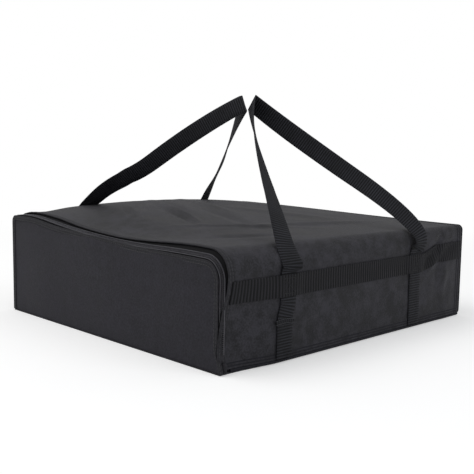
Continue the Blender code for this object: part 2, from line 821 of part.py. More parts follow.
def build_handle(shape, materials, parts):
    """Make one handle loop: webbing that stands on two feet and turns over at its peak."""
    side = shape.side
    lean = WEBBING_WIDTH / 2 * cos(PEAK_TILT) + WEBBING / 2 * sin(PEAK_TILT) + LEAN_GAP / 2
    peak = Vector((LEAN_LINE_X + side * lean, PEAK_Y, PEAK_HEIGHT))
    mirror = Vector((side, 1.0, 1.0))
    front_foot = Vector((side * FOOT_X, FRONT_FOOT_Y, FOOT_HEIGHT))
    back_foot = Vector((side * FOOT_X, BACK_FOOT_Y, FOOT_HEIGHT))
    foot_pull = shape.foot_pull * mirror
    front = leg_points(front_foot, foot_pull, peak, shape.front_pull * mirror)
    back = leg_points(back_foot, foot_pull, peak, shape.back_pull * mirror)
    path = front + back[-2::-1]
    pivot = Vector((side * FOOT_X, (FRONT_FOOT_Y + BACK_FOOT_Y) / 2, FOOT_HEIGHT))
    rows = []
    last = len(path) - 1
    ends = [path[0] - foot_pull, *path, path[last] - foot_pull]
    for index, point in enumerate(path):
        tangent = (ends[index + 2] - ends[index]).normalized()
        share = min(index, last - index) / LEG_STEPS
        across = webbing_direction(tangent, share, side) * WEBBING_WIDTH / 2
        rows.append([point - pivot - across, point - pivot + across])
    made = add_sheet(shape.name, rows, WEBBING, materials["webbing"], parts, side=0.0)
    made.location = pivot
    return made


def webbing_direction(tangent, share, side):
    """Return the direction across the webbing, at a share of the way from a foot to the peak."""
    flat = Vector((side, 0.0, 0.0))
    leaning = Vector((side * cos(PEAK_TILT), 0.0, sin(PEAK_TILT)))
    outward = flat.lerp(leaning, share)
    outward = (outward - outward.dot(tangent) * tangent).normalized()
    away = side * outward.cross(tangent)
    twist = PEAK_TWIST * share ** TWIST_POWER
    return cos(twist) * away + sin(twist) * outward


def build():
    """Build the whole bag."""
    clear_scene()
    parts = new_collection("pizza_delivery_bag")
    joined = new_collection("joined_pieces")
    materials = {
        "cloth": new_material("cloth", (0.032, 0.031, 0.037), 0.75),
        "binding": new_material("binding", (0.022, 0.022, 0.026), 0.70),
        "webbing": new_material("webbing", (0.020, 0.020, 0.025), 0.80),
        "tape": new_material("tape", (0.015, 0.015, 0.018), 0.85),
        "teeth": new_material("teeth", (0.030, 0.030, 0.033), 0.40),
        "metal": new_material("metal", (0.030, 0.030, 0.032), 0.35, 0.9),
        "foam": new_material("foam", (0.55, 0.55, 0.56), 0.90),
        "liner": new_material("liner", (0.50, 0.51, 0.53), 0.35, 0.6),
    }
    build_wrap(materials, parts)
    build_piping(materials, parts)
    build_boards(materials, parts)
    build_liner(materials, parts)
    build_zipper(materials, parts)
    build_flap(materials, parts)
    build_slider(materials, parts, joined)
    build_pull(materials, parts)
    build_webbing(materials, parts)
    for shape in HANDLES:
        build_handle(shape, materials, parts)


build()
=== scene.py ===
"""Insulated delivery bag: its cloth, zipper, webbing and padding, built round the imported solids.

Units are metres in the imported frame: X along the mouth, Y from the mouth to the back, Z up.
"""

import logging
from collections.abc import Iterable, Sequence
from dataclasses import dataclass, field
from enum import Enum
from math import cos, pi, radians, sin

import bmesh
import bpy
import numpy as np
from mathutils import Matrix, Vector


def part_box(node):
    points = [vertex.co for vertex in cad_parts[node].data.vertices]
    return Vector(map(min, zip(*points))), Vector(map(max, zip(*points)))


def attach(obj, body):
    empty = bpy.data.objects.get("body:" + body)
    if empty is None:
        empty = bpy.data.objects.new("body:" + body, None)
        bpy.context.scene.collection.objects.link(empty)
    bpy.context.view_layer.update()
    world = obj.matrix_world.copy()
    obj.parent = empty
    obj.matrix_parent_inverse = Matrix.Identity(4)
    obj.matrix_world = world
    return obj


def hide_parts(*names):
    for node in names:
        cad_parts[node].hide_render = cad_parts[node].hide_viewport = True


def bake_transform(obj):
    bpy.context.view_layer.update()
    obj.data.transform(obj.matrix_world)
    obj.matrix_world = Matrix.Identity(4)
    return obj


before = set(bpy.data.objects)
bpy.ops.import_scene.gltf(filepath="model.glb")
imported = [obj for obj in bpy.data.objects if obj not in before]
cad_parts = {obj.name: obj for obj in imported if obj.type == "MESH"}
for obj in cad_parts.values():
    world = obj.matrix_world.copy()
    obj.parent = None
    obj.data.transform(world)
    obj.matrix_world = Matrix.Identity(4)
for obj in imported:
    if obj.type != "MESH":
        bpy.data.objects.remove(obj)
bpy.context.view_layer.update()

LOG = logging.getLogger("delivery_bag")
Array = np.ndarray
Colour = tuple[float, float, float]
DEEP = np.array([0.0, 1.0, 0.0])
RISE = np.array([0.0, 0.0, 1.0])
# The angle past which an edge between two faces is shaded sharp
CREASE = radians(48.0)
# The length of one rib of the straps' webbing, and of the bands'
STRAP_RIB = 0.0034
BAND_RIB = 0.0046
# How far a row of stitches stands out of the face that it is sewn on
STITCH_LIFT = 0.00018


# Arrays and curves


def step(x: Array | float) -> Array:
    """Return a smooth step: 0 below 0, 1 above 1 and three squares less two cubes between."""
    x = np.clip(x, 0.0, 1.0)
    return x * x * (3.0 - 2.0 * x)


def unit(vectors: Array) -> Array:
    """Return the vectors divided by their lengths."""
    return vectors / np.maximum(np.linalg.norm(vectors, axis=-1, keepdims=True), 1e-12)


def through(x: Array, places: Sequence[float], heights: Sequence[float]) -> Array:
    """Return a smooth curve through given points.

    Between two points it is a cubic that has their heights, and slopes by central differences.

    Args:
        x: Where the curve is wanted; past the ends it stays level.
        places: The points' places, rising.
        heights: The points' heights.

    Returns:
        The curve's heights at x.
    """
    xs = np.asarray(places, float)
    ys = np.asarray(heights, float)
    slopes = np.gradient(ys, xs)
    slopes[0] = slopes[-1] = 0.0
    i = np.clip(np.searchsorted(xs, x) - 1, 0, len(xs) - 2)
    h = xs[i + 1] - xs[i]
    t = np.clip((x - xs[i]) / h, 0.0, 1.0)
    rest = 1.0 - t
    low = (1.0 + 2.0 * t) * rest * rest * ys[i] + t * rest * rest * h * slopes[i]
    high = t * t * (3.0 - 2.0 * t) * ys[i + 1] - t * t * rest * h * slopes[i + 1]
    return low + high


def travelled(path: Array) -> Array:
    """Return the length along a path at each of its points."""
    return np.concatenate([[0.0], np.cumsum(np.linalg.norm(np.diff(path, axis=0), axis=1))])


def resample(path: Array, places: Array, *others: Array) -> list[Array]:
    """Return a path, and arrays that go with its points, at given lengths along it.

    Args:
        path: The path's points.
        places: Lengths along it.
        others: Arrays with one row for each of its points.

    Returns:
        The path and the other arrays, with one row for each place.
    """
    length = travelled(path)
    found = []
    for values in (path, *others):
        columns = [np.interp(places, length, values[:, k]) for k in range(values.shape[1])]
        found.append(np.stack(columns, axis=1))
    return found


def along(path: Array, closed: bool = False) -> Array:
    """Return the unit tangents of a path: the difference of each point's neighbours.

    Args:
        path: The path's points.
        closed: Whether the path ends where it starts.

    Returns:
        One unit vector for each point.
    """
    if closed:
        return unit(np.roll(path, -1, axis=0) - np.roll(path, 1, axis=0))
    return unit(np.gradient(path, axis=0))


def grid_normals(points: Array) -> Array:
    """Return unit normals of a grid: its slope along rows crossed with that along columns."""
    return unit(np.cross(np.gradient(points, axis=1), np.gradient(points, axis=0)))


# Meshes


def grid_faces(rows: int, columns: int, ring: bool = False, start: int = 0) -> Array:
    """Return the quads of a grid of points that are numbered row by row.

    Args:
        rows: The number of rows.
        columns: The number of columns.
        ring: Whether the last column joins the first.
        start: The number of the first point.

    Returns:
        Four point numbers for each quad.
    """
    r = np.arange(rows - 1)[:, None] * columns
    c = np.arange(columns if ring else columns - 1)[None, :]
    n = (c + 1) % columns
    quads = np.stack([r + c, r + n, r + columns + n, r + columns + c], axis=-1)
    return quads.reshape(-1, 4) + start


def rim_faces(first: Array, second: Array, closed: bool) -> Array:
    """Return the quads between two lines of point numbers that run side by side.

    Args:
        first: The first line's point numbers.
        second: The second line's.
        closed: Whether both lines end where they start.

    Returns:
        Four point numbers for each quad.
    """
    if closed:
        first = np.append(first, first[0])
        second = np.append(second, second[0])
    return np.stack([first[:-1], first[1:], second[1:], second[:-1]], axis=-1)


def make_piece(
    name: str,
    points: Array,
    faces: list,
    finish: bpy.types.Material,
    cut: Array | None = None,
) -> bpy.types.Object:
    """Return a smooth-shaded object whose faces point outwards.

    Args:
        name: The piece's name.
        points: Its points, one row each.
        faces: Its faces, as lists of point numbers.
        finish: Its material.
        cut: Its flat pattern in metres, one row for each point, kept as the UV map "cut".

    Returns:
        The new object, at the origin.
    """
    mesh = bpy.data.meshes.new(name)
    mesh.from_pydata(np.asarray(points).reshape(-1, 3).tolist(), [], faces)
    shape = bmesh.new()
    shape.from_mesh(mesh)
    bmesh.ops.recalc_face_normals(shape, faces=shape.faces)
    shape.to_mesh(mesh)
    shape.free()
    if cut is not None:
        layer = mesh.uv_layers.new(name="cut")
        corner = np.zeros(len(mesh.loops), np.int32)
        mesh.loops.foreach_get("vertex_index", corner)
        layer.data.foreach_set("uv", np.asarray(cut, np.float32)[corner].ravel())
    mesh.shade_smooth()
    mesh.set_sharp_from_angle(angle=CREASE)
    mesh.materials.append(finish)
    made = bpy.data.objects.new(name, mesh)
    bpy.context.scene.collection.objects.link(made)
    return made


def make_shell(
    name: str,
    outer: Array,
    inner: Array,
    finish: bpy.types.Material,
    ring: bool = False,
) -> bpy.types.Object:
    """Return a closed sheet between two grids of points of the same shape.

    Args:
        name: The piece's name.
        outer: The outer face, rows by columns by 3.
        inner: The inner face, of the same shape.
        finish: Its material.
        ring: Whether the last column joins the first.

    Returns:
        The new object, at the origin.
    """
    rows, columns = outer.shape[:2]
    count = rows * columns
    number = np.arange(count).reshape(rows, columns)
    faces = [grid_faces(rows, columns, ring), grid_faces(rows, columns, ring, count)[:, ::-1]]
    lines = [(number[0], ring), (number[-1][::-1], ring)]
    if not ring:
        lines += [(number[:, 0][::-1], False), (number[:, -1], False)]
    faces += [rim_faces(line, line + count, closed)[:, ::-1] for line, closed in lines]
    points = np.concatenate([outer.reshape(-1, 3), inner.reshape(-1, 3)])
    cut = np.concatenate([flat_pattern(outer).reshape(-1, 2)] * 2)
    return make_piece(name, points, np.concatenate(faces).tolist(), finish, cut)


def flat_pattern(points: Array) -> Array:
    """Return a flat pattern of a grid: the mean length along its rows and along its columns.

    Args:
        points: A grid of points, rows by columns by 3.

    Returns:
        Two lengths for each point, rows by columns by 2.
    """
    over = np.linalg.norm(np.diff(points, axis=1), axis=2).mean(axis=0)
    down = np.linalg.norm(np.diff(points, axis=0), axis=2).mean(axis=1)
    u = np.concatenate([[0.0], np.cumsum(over)])
    v = np.concatenate([[0.0], np.cumsum(down)])
    return np.stack(np.meshgrid(u, v), axis=-1)


def flat_size(points: Array) -> tuple[float, float]:
    """Return the width and length that a grid of points was cut to."""
    pattern = flat_pattern(points)
    return float(pattern[-1, -1, 0]), float(pattern[-1, -1, 1])


def make_sweep(
    name: str,
    centres: Array,
    across: Array,
    up: Array,
    profile: Array,
    finish: bpy.types.Material,
    closed: bool = False,
) -> bpy.types.Object:
    """Return a closed profile carried along a path.

    Each ring is the path's point plus the profile's first number along across and its second
    along up. The flat pattern runs round the profile and along the path.

    Args:
        name: The piece's name.
        centres: The path, one row for each ring.
        across: The direction across the path at each ring.
        up: The direction out of the path at each ring.
        profile: The profile, k by 2, or one for each ring.
        finish: Its material.
        closed: Whether the path ends where it starts.

    Returns:
        The new object, at the origin.
    """
    profile = np.broadcast_to(profile, (len(centres), *np.shape(profile)[-2:]))
    rings = centres[:, None] + profile[..., :1] * across[:, None] + profile[..., 1:] * up[:, None]
    count, sides = rings.shape[:2]
    length = travelled(centres)
    loop = np.concatenate([profile[0], profile[0][:1]])
    girth = travelled(loop)[:-1]
    cut = np.stack(np.meshgrid(girth, length), axis=-1)
    number = np.arange(count * sides).reshape(count, sides)
    faces = grid_faces(count, sides, ring=True).tolist()
    if closed:
        faces += rim_faces(number[-1], number[0], True).tolist()
    else:
        faces += [number[0][::-1].tolist(), number[-1].tolist()]
    return make_piece(name, rings, faces, finish, cut.reshape(-1, 2))


def round_profile(width: float, height: float, sides: int = 10) -> Array:
    """Return an oval profile: cosine across and sine up."""
    turn = np.arange(sides) * 2.0 * pi / sides
    return np.stack([np.cos(turn) * width / 2, np.sin(turn) * height / 2], axis=1)


# A small bar's rings: their places along it in lengths, and their sizes
GRAIN_RINGS = np.array([(-0.5, 0.45), (-0.28, 1.0), (0.28, 1.0), (0.5, 0.45)])
GRAIN_SIDES = 6


def make_grains(
    name: str,
    centres: Array,
    lengthwise: Array,
    up: Array,
    size: tuple[float, float, float],
    finish: bpy.types.Material,
) -> bpy.types.Object:
    """Return many small rounded bars as one piece: stitches, or the teeth of a zipper.

    A bar is four six-sided rings, the outer two small, set along its length.

    Args:
        name: The piece's name.
        centres: The bars' middles.
        lengthwise: The direction along each bar.
        up: The direction out of the face that the bars lie on.
        size: A bar's length, width and height.
        finish: Its material.

    Returns:
        The new object, at the origin.
    """
    turn = np.arange(GRAIN_SIDES) * pi / 3.0
    rings = GRAIN_RINGS
    bar = np.stack(
        [
            np.repeat(rings[:, 0], GRAIN_SIDES) * size[0],
            np.outer(rings[:, 1], np.cos(turn)).ravel() * size[1] / 2,
            np.outer(rings[:, 1], np.sin(turn)).ravel() * size[2] / 2,
        ],
        axis=1,
    )
    up = unit(up - np.sum(up * lengthwise, axis=1, keepdims=True) * lengthwise)
    side = np.cross(lengthwise, up)
    frames = np.stack([lengthwise, side, up], axis=1)
    points = centres[:, None] + np.einsum("kc,ncd->nkd", bar, frames)
    quads = grid_faces(len(rings), GRAIN_SIDES, ring=True)
    starts = np.arange(len(centres)) * len(bar)
    sides = (quads[None] + starts[:, None, None]).reshape(-1, 4).tolist()
    corners = np.arange(GRAIN_SIDES)
    ends = np.stack([corners[::-1], corners + len(bar) - GRAIN_SIDES])
    caps = (ends[None] + starts[:, None, None]).reshape(-1, GRAIN_SIDES).tolist()
    return make_piece(name, points, sides + caps, finish)


# Shaders


class Term:
    """A socket that takes part in Python arithmetic, each operation a Math node."""

    def __init__(self, graph: "Graph", socket: bpy.types.NodeSocket) -> None:
        """Keep the socket and its graph."""
        self.graph = graph
        self.socket = socket

    def join(self, operation: str, *others: "Term | float") -> "Term":
        """Return this term joined with others by a Math node."""
        inputs = dict(enumerate((self, *others)))
        return self.graph.term("ShaderNodeMath", {"operation": operation}, inputs)

    def __add__(self, other: "Term | float") -> "Term":
        """Return the sum."""
        return self.join("ADD", other)

    __radd__ = __add__

    def __mul__(self, other: "Term | float") -> "Term":
        """Return the product."""
        return self.join("MULTIPLY", other)

    __rmul__ = __mul__

    def __sub__(self, other: "Term | float") -> "Term":
        """Return the difference."""
        return self.join("SUBTRACT", other)

    def __rsub__(self, other: float) -> "Term":
        """Return the difference with a number first."""
        return self * -1.0 + other

    def __truediv__(self, other: "Term | float") -> "Term":
        """Return the quotient."""
        return self.join("DIVIDE", other)

    def wave(self) -> "Term":
        """Return a wave from 0 to 1 that repeats at each whole number."""
        return (self * (2.0 * pi)).join("COSINE") * -0.5 + 0.5

    def over(self, edge: float, width: float) -> "Term":
        """Return 0 below an edge, rising to 1 over a width."""
        return ((self - edge) / width).join("MAXIMUM", 0.0).join("MINIMUM", 1.0)


class Graph:
    """The node tree of one material."""

    def __init__(self, name: str) -> None:
        """Make an empty material with its Principled shader."""
        self.material = bpy.data.materials.new(name)
        self.material.use_nodes = True
        self.tree = self.material.node_tree
        self.shader = self.tree.nodes["Principled BSDF"]

    def node(self, kind: str, settings: dict, inputs: dict) -> bpy.types.Node:
        """Return a new node.

        Args:
            kind: The node's type.
            settings: Its properties, set first; "stops" are the places and colours of a ramp.
            inputs: Values or terms, by the name or number of their sockets.

        Returns:
            The node, linked to its inputs.
        """
        made = self.tree.nodes.new(kind)
        for key, value in settings.items():
            if key == "stops":
                ramp = made.color_ramp.elements
                for index, (place, grey) in enumerate(value):
                    stop = ramp[index] if index < 2 else ramp.new(place)
                    stop.position = place
                    stop.color = (grey, grey, grey, 1.0)
            else:
                setattr(made, key, value)
        for key, value in inputs.items():
            if isinstance(value, Term):
                self.tree.links.new(value.socket, made.inputs[key])
            else:
                made.inputs[key].default_value = value
        return made

    def term(self, kind: str, settings: dict, inputs: dict, output: int | str = 0) -> Term:
        """Return one output of a new node as a term."""
        return Term(self, self.node(kind, settings, inputs).outputs[output])

    def place(self) -> Term:
        """Return Object coordinates."""
        return self.term("ShaderNodeTexCoord", {}, {}, "Object")

    def pattern(self) -> tuple[Term, Term]:
        """Return the two numbers of the flat pattern, in metres."""
        cut = self.term("ShaderNodeUVMap", {"uv_map": "cut"}, {})
        parts = self.node("ShaderNodeSeparateXYZ", {}, {0: cut})
        return Term(self, parts.outputs[0]), Term(self, parts.outputs[1])

    def noise(self, scale: float, detail: float = 2.0) -> Term:
        """Return fractal noise about 0.5 at a scale in features to the metre."""
        inputs = {"Vector": self.place(), "Scale": scale, "Detail": detail}
        return self.term("ShaderNodeTexNoise", {}, inputs, "Fac")

    def tint(self, share: Term, dark: Colour, light: Colour) -> Term:
        """Return a colour between two, at a share."""
        settings = {"data_type": "RGBA"}
        inputs = {0: share, 6: (*dark, 1.0), 7: (*light, 1.0)}
        return self.term("ShaderNodeMix", settings, inputs, 2)

    def dress(self, varying: dict, constants: dict, height: Term, distance: float) -> None:
        """Feed the shader.

        Args:
            varying: Terms for Base Color, Roughness, Metallic or Coat Weight.
            constants: Numbers for any other socket.
            height: The relief, from 0 to 1, that a Bump node turns into the normal.
            distance: The relief's depth in metres.
        """
        for key, value in constants.items():
            self.shader.inputs[key].default_value = value
        for key, value in varying.items():
            self.tree.links.new(value.socket, self.shader.inputs[key])
        inputs = {"Strength": 1.0, "Distance": distance, "Height": height}
        bump = self.term("ShaderNodeBump", {}, inputs)
        self.tree.links.new(bump.socket, self.shader.inputs["Normal"])


@dataclass(frozen=True)
class Recipe:
    """What every finish has: its material's name, and its darkest and lightest colour."""

    name: str
    dark: Colour
    light: Colour

    def build(self) -> bpy.types.Material:
        """Return the material; each finish makes its own."""
        raise NotImplementedError


@dataclass(frozen=True)
class WovenCloth(Recipe):
    """Plain-woven coated polyester: threads over and under, mottled, with a dull sheen."""

    pitch: float = 0.0011
    rough: float = 0.62
    gloss: float = 0.28
    relief: float = 0.00016
    mottle: float = 2.0
    blotch: float = 2.4
    grain: float = 1.7

    def build(self) -> bpy.types.Material:
        """Return the material: two crossed waves and three sizes of noise."""
        graph = Graph(self.name)
        u, v = graph.pattern()
        stray = (graph.noise(260.0) - 0.5) * (self.pitch * 0.9)
        warp = ((u + stray) / self.pitch).wave()
        weft = ((v + stray) / self.pitch).wave()
        checker = ((u + v) / (2.0 * self.pitch)).wave()
        weave = warp * checker + weft * (1.0 - checker)
        cloudy = graph.noise(17.0, 4.0)
        patches = graph.noise(75.0, 5.0)
        grain = graph.noise(430.0, 2.0)
        specks = graph.noise(900.0, 1.0).over(0.6, 0.2)
        worn = (cloudy - 0.5) * self.mottle + (patches - 0.5) * self.blotch
        worn = worn + (grain - 0.5) * self.grain
        # The weave term paints the gaps between threads darker and the crossings lighter: painted shade and
        # highlight. The noises are random tone and specks.
        share = weave * 0.3 + worn + specks * 0.25 + 0.33
        colour = graph.tint(share, self.dark, self.light)
        rough = cloudy * 0.3 + patches * 0.2 + (self.rough - 0.25) - specks * 0.08
        height = weave * 0.6 + grain * 0.6 + patches * 1.2
        constants = {"Specular IOR Level": self.gloss, "Sheen Weight": 0.06}
        graph.dress({"Base Color": colour, "Roughness": rough}, constants, height, self.relief)
        return graph.material


@dataclass(frozen=True)
class BindingTape(Recipe):
    """Folded binding: fine cross ribs along the edge, matt."""

    pitch: float = 0.0012

    def build(self) -> bpy.types.Material:
        """Return the material: one wave along the binding and noise."""
        graph = Graph(self.name)
        _, v = graph.pattern()
        ribs = (v / self.pitch).wave()
        worn = graph.noise(60.0, 3.0)
        frayed = graph.noise(350.0, 3.0)
        share = ribs * 0.4 + (worn - 0.5) * 0.9 + (frayed - 0.5) * 1.3 + 0.3
        colour = graph.tint(share, self.dark, self.light)
        rough = worn * 0.3 + 0.5
        height = ribs * 0.7 + graph.noise(700.0) * 0.5
        constants = {"Specular IOR Level": 0.25}
        graph.dress({"Base Color": colour, "Roughness": rough}, constants, height, 0.00014)
        return graph.material


@dataclass(frozen=True)
class Webbing(Recipe):
    """Polypropylene webbing: yarns along its length between the modelled cross ribs."""

    rib: float
    yarn: float = 0.0011

    def build(self) -> bpy.types.Material:
        """Return the material: yarns across the width, the ribs along it, and noise."""
        graph = Graph(self.name)
        u, v = graph.pattern()
        ribs = (v / self.rib).wave().join("POWER", 1.1)
        slant = ((u + (v / self.rib) * self.yarn) / self.yarn).wave()
        worn = graph.noise(40.0, 3.0)
        fuzz = graph.noise(1500.0, 1.0)
        # The colour is multiplied by the ribs, so the grooves between the modelled ribs are painted nearly
        # black: painted shade. The yarns and noise are the webbing's own texture.
        share = ribs * (slant * 0.3 + 0.55 + (worn - 0.5) * 1.1) + (fuzz - 0.5) * 0.3
        colour = graph.tint(share, self.dark, self.light)
        rough = worn * 0.2 + 0.5 + fuzz * 0.1
        height = slant * 0.5 + fuzz * 0.3 + ribs * 0.7
        constants = {"Specular IOR Level": 0.22, "Sheen Weight": 0.03}
        graph.dress({"Base Color": colour, "Roughness": rough}, constants, height, 0.0002)
        return graph.material


@dataclass(frozen=True)
class TwillTape(Recipe):
    """Zipper tape: fine slanting ridges."""

    pitch: float = 0.0013

    def build(self) -> bpy.types.Material:
        """Return the material: one slanting wave and noise."""
        graph = Graph(self.name)
        u, v = graph.pattern()
        ridges = ((u + v) / self.pitch).wave()
        fuzz = graph.noise(800.0)
        colour = graph.tint(ridges * 0.7 + (fuzz - 0.5) * 0.4, self.dark, self.light)
        height = ridges * 0.8 + fuzz * 0.3
        constants = {"Specular IOR Level": 0.2}
        varying = {"Base Color": colour, "Roughness": fuzz * 0.2 + 0.65}
        graph.dress(varying, constants, height, 0.00018)
        return graph.material


@dataclass(frozen=True)
class Moulded(Recipe):
    """Smooth nylon, thread or painted zinc: a satin face with wear and fine scratches."""

    rough: float
    metallic: float = 0.0
    gloss: float = 0.5
    grain: float = 400.0

    def build(self) -> bpy.types.Material:
        """Return the material: two sizes of noise, the fine one for scratches."""
        graph = Graph(self.name)
        wear = graph.noise(self.grain, 3.0)
        fine = graph.noise(self.grain * 9.0, 1.0)
        colour = graph.tint(wear * 0.8 + fine * 0.2, self.dark, self.light)
        varying = {"Base Color": colour, "Roughness": wear * 0.25 + (self.rough - 0.12)}
        constants = {"Metallic": self.metallic, "Specular IOR Level": self.gloss}
        graph.dress(varying, constants, wear * 0.4 + fine * 0.6, 0.00006)
        return graph.material


@dataclass(frozen=True)
class FoamFinish(Recipe):
    """Closed-cell foam: pale, with small pits."""

    def build(self) -> bpy.types.Material:
        """Return the material: cells from a Voronoi texture, and noise."""
        graph = Graph(self.name)
        inputs = {"Vector": graph.place(), "Scale": 520.0}
        cells = graph.term("ShaderNodeTexVoronoi", {}, inputs, "Distance")
        cloudy = graph.noise(30.0, 3.0)
        colour = graph.tint(cells * 0.7 + cloudy * 0.4, self.dark, self.light)
        varying = {"Base Color": colour, "Roughness": cloudy * 0.15 + 0.8}
        graph.dress(varying, {"Specular IOR Level": 0.2}, cells, 0.0003)
        return graph.material


@dataclass(frozen=True)
class FoilLining(Recipe):
    """Silver foil-faced lining: crinkled, with a fine woven grid under the foil."""

    pitch: float = 0.0024

    def build(self) -> bpy.types.Material:
        """Return the material: crinkles from two noises and a faint grid of threads."""
        graph = Graph(self.name)
        u, v = graph.pattern()
        grid = (u / self.pitch).wave().join("MAXIMUM", (v / self.pitch).wave())
        crinkle = graph.noise(55.0, 3.0)
        fine = graph.noise(340.0, 2.0)
        colour = graph.tint(crinkle * 0.6 + grid * 0.2 + fine * 0.3, self.dark, self.light)
        varying = {
            "Base Color": colour,
            "Roughness": crinkle * 0.2 + 0.34,
            "Metallic": fine * 0.2 + 0.4,
        }
        height = crinkle * 0.8 + fine * 0.15 + grid * 0.04
        graph.dress(varying, {}, height, 0.0008)
        return graph.material


class Finish(Enum):
    """The finishes of the bag."""

    CLOTH = "cloth"
    FLAP_CLOTH = "flap cloth"
    BINDING = "binding"
    PIPING = "piping"
    STRAP = "strap"
    BAND = "band"
    TAPE = "tape"
    TEETH = "teeth"
    THREAD = "thread"
    DARK_THREAD = "dark thread"
    METAL = "metal"
    FOAM = "foam"
    LINER = "liner"


BLACK = (0.0070, 0.0068, 0.0088)
# A slot name and the recipe of each finish
FINISHES: dict[Finish, tuple[str, Recipe]] = {
    Finish.CLOTH: (
        "cloth",
        WovenCloth("coated_cloth", (0.0100, 0.0097, 0.0125), (0.0365, 0.0352, 0.0440)),
    ),
    Finish.FLAP_CLOTH: (
        "cloth",
        WovenCloth(
            "flap_cloth", (0.0125, 0.0118, 0.0165), (0.0340, 0.0322, 0.0430),
            pitch=0.0014, rough=0.68, gloss=0.24, mottle=0.7, blotch=1.0, grain=1.2,
        ),
    ),
    Finish.BINDING: ("binding", BindingTape("edge_binding", BLACK, (0.0400, 0.0390, 0.0460))),
    Finish.PIPING: ("binding", BindingTape("corded_piping", (0.006, 0.006, 0.009), (0.022, 0.022, 0.030))),
    Finish.STRAP: (
        "webbing",
        Webbing("strap_webbing", (0.0004, 0.0004, 0.0008), (0.0370, 0.0378, 0.0480), STRAP_RIB),
    ),
    Finish.BAND: (
        "webbing",
        Webbing("band_webbing", (0.0008, 0.0008, 0.0012), (0.0290, 0.0282, 0.0345), BAND_RIB),
    ),
    # The zipper tape is set darker than the cloth: painted shade for the recessed band between the hem and
    # the flap.
    Finish.TAPE: ("tape", TwillTape("zipper_tape", (0.0012, 0.0012, 0.0016), (0.0075, 0.0072, 0.0098))),
    # The teeth are set lighter than the black nylon they stand for: a painted highlight along the coil.
    Finish.TEETH: ("teeth", Moulded("nylon_teeth", (0.035, 0.034, 0.040), (0.115, 0.112, 0.130), 0.35)),
    # The sewing thread is set lighter than the black thread it stands for: painted highlights that show the
    # stitches.
    Finish.THREAD: ("binding", Moulded("sewing_thread", (0.018, 0.018, 0.021), (0.060, 0.060, 0.068), 0.6)),
    Finish.DARK_THREAD: (
        "webbing",
        Moulded("dark_thread", (0.004, 0.004, 0.005), (0.014, 0.014, 0.017), 0.6),
    ),
    Finish.METAL: ("metal", Moulded("painted_zinc", (0.012, 0.012, 0.014), (0.05, 0.05, 0.054), 0.34, 0.85)),
    Finish.FOAM: ("foam", FoamFinish("closed_cell_foam", (0.42, 0.42, 0.43), (0.66, 0.66, 0.67))),
    Finish.LINER: ("liner", FoilLining("foil_lining", (0.38, 0.39, 0.41), (0.68, 0.69, 0.71))),
}


@dataclass
class Wardrobe:
    """The finishes, each made once when it is first asked for."""

    made: dict[Finish, bpy.types.Material] = field(default_factory=dict)

    def get(self, finish: Finish) -> bpy.types.Material:
        """Return the material of a finish."""
        if finish not in self.made:
            self.made[finish] = FINISHES[finish][1].build()
        return self.made[finish]


# The bag's form


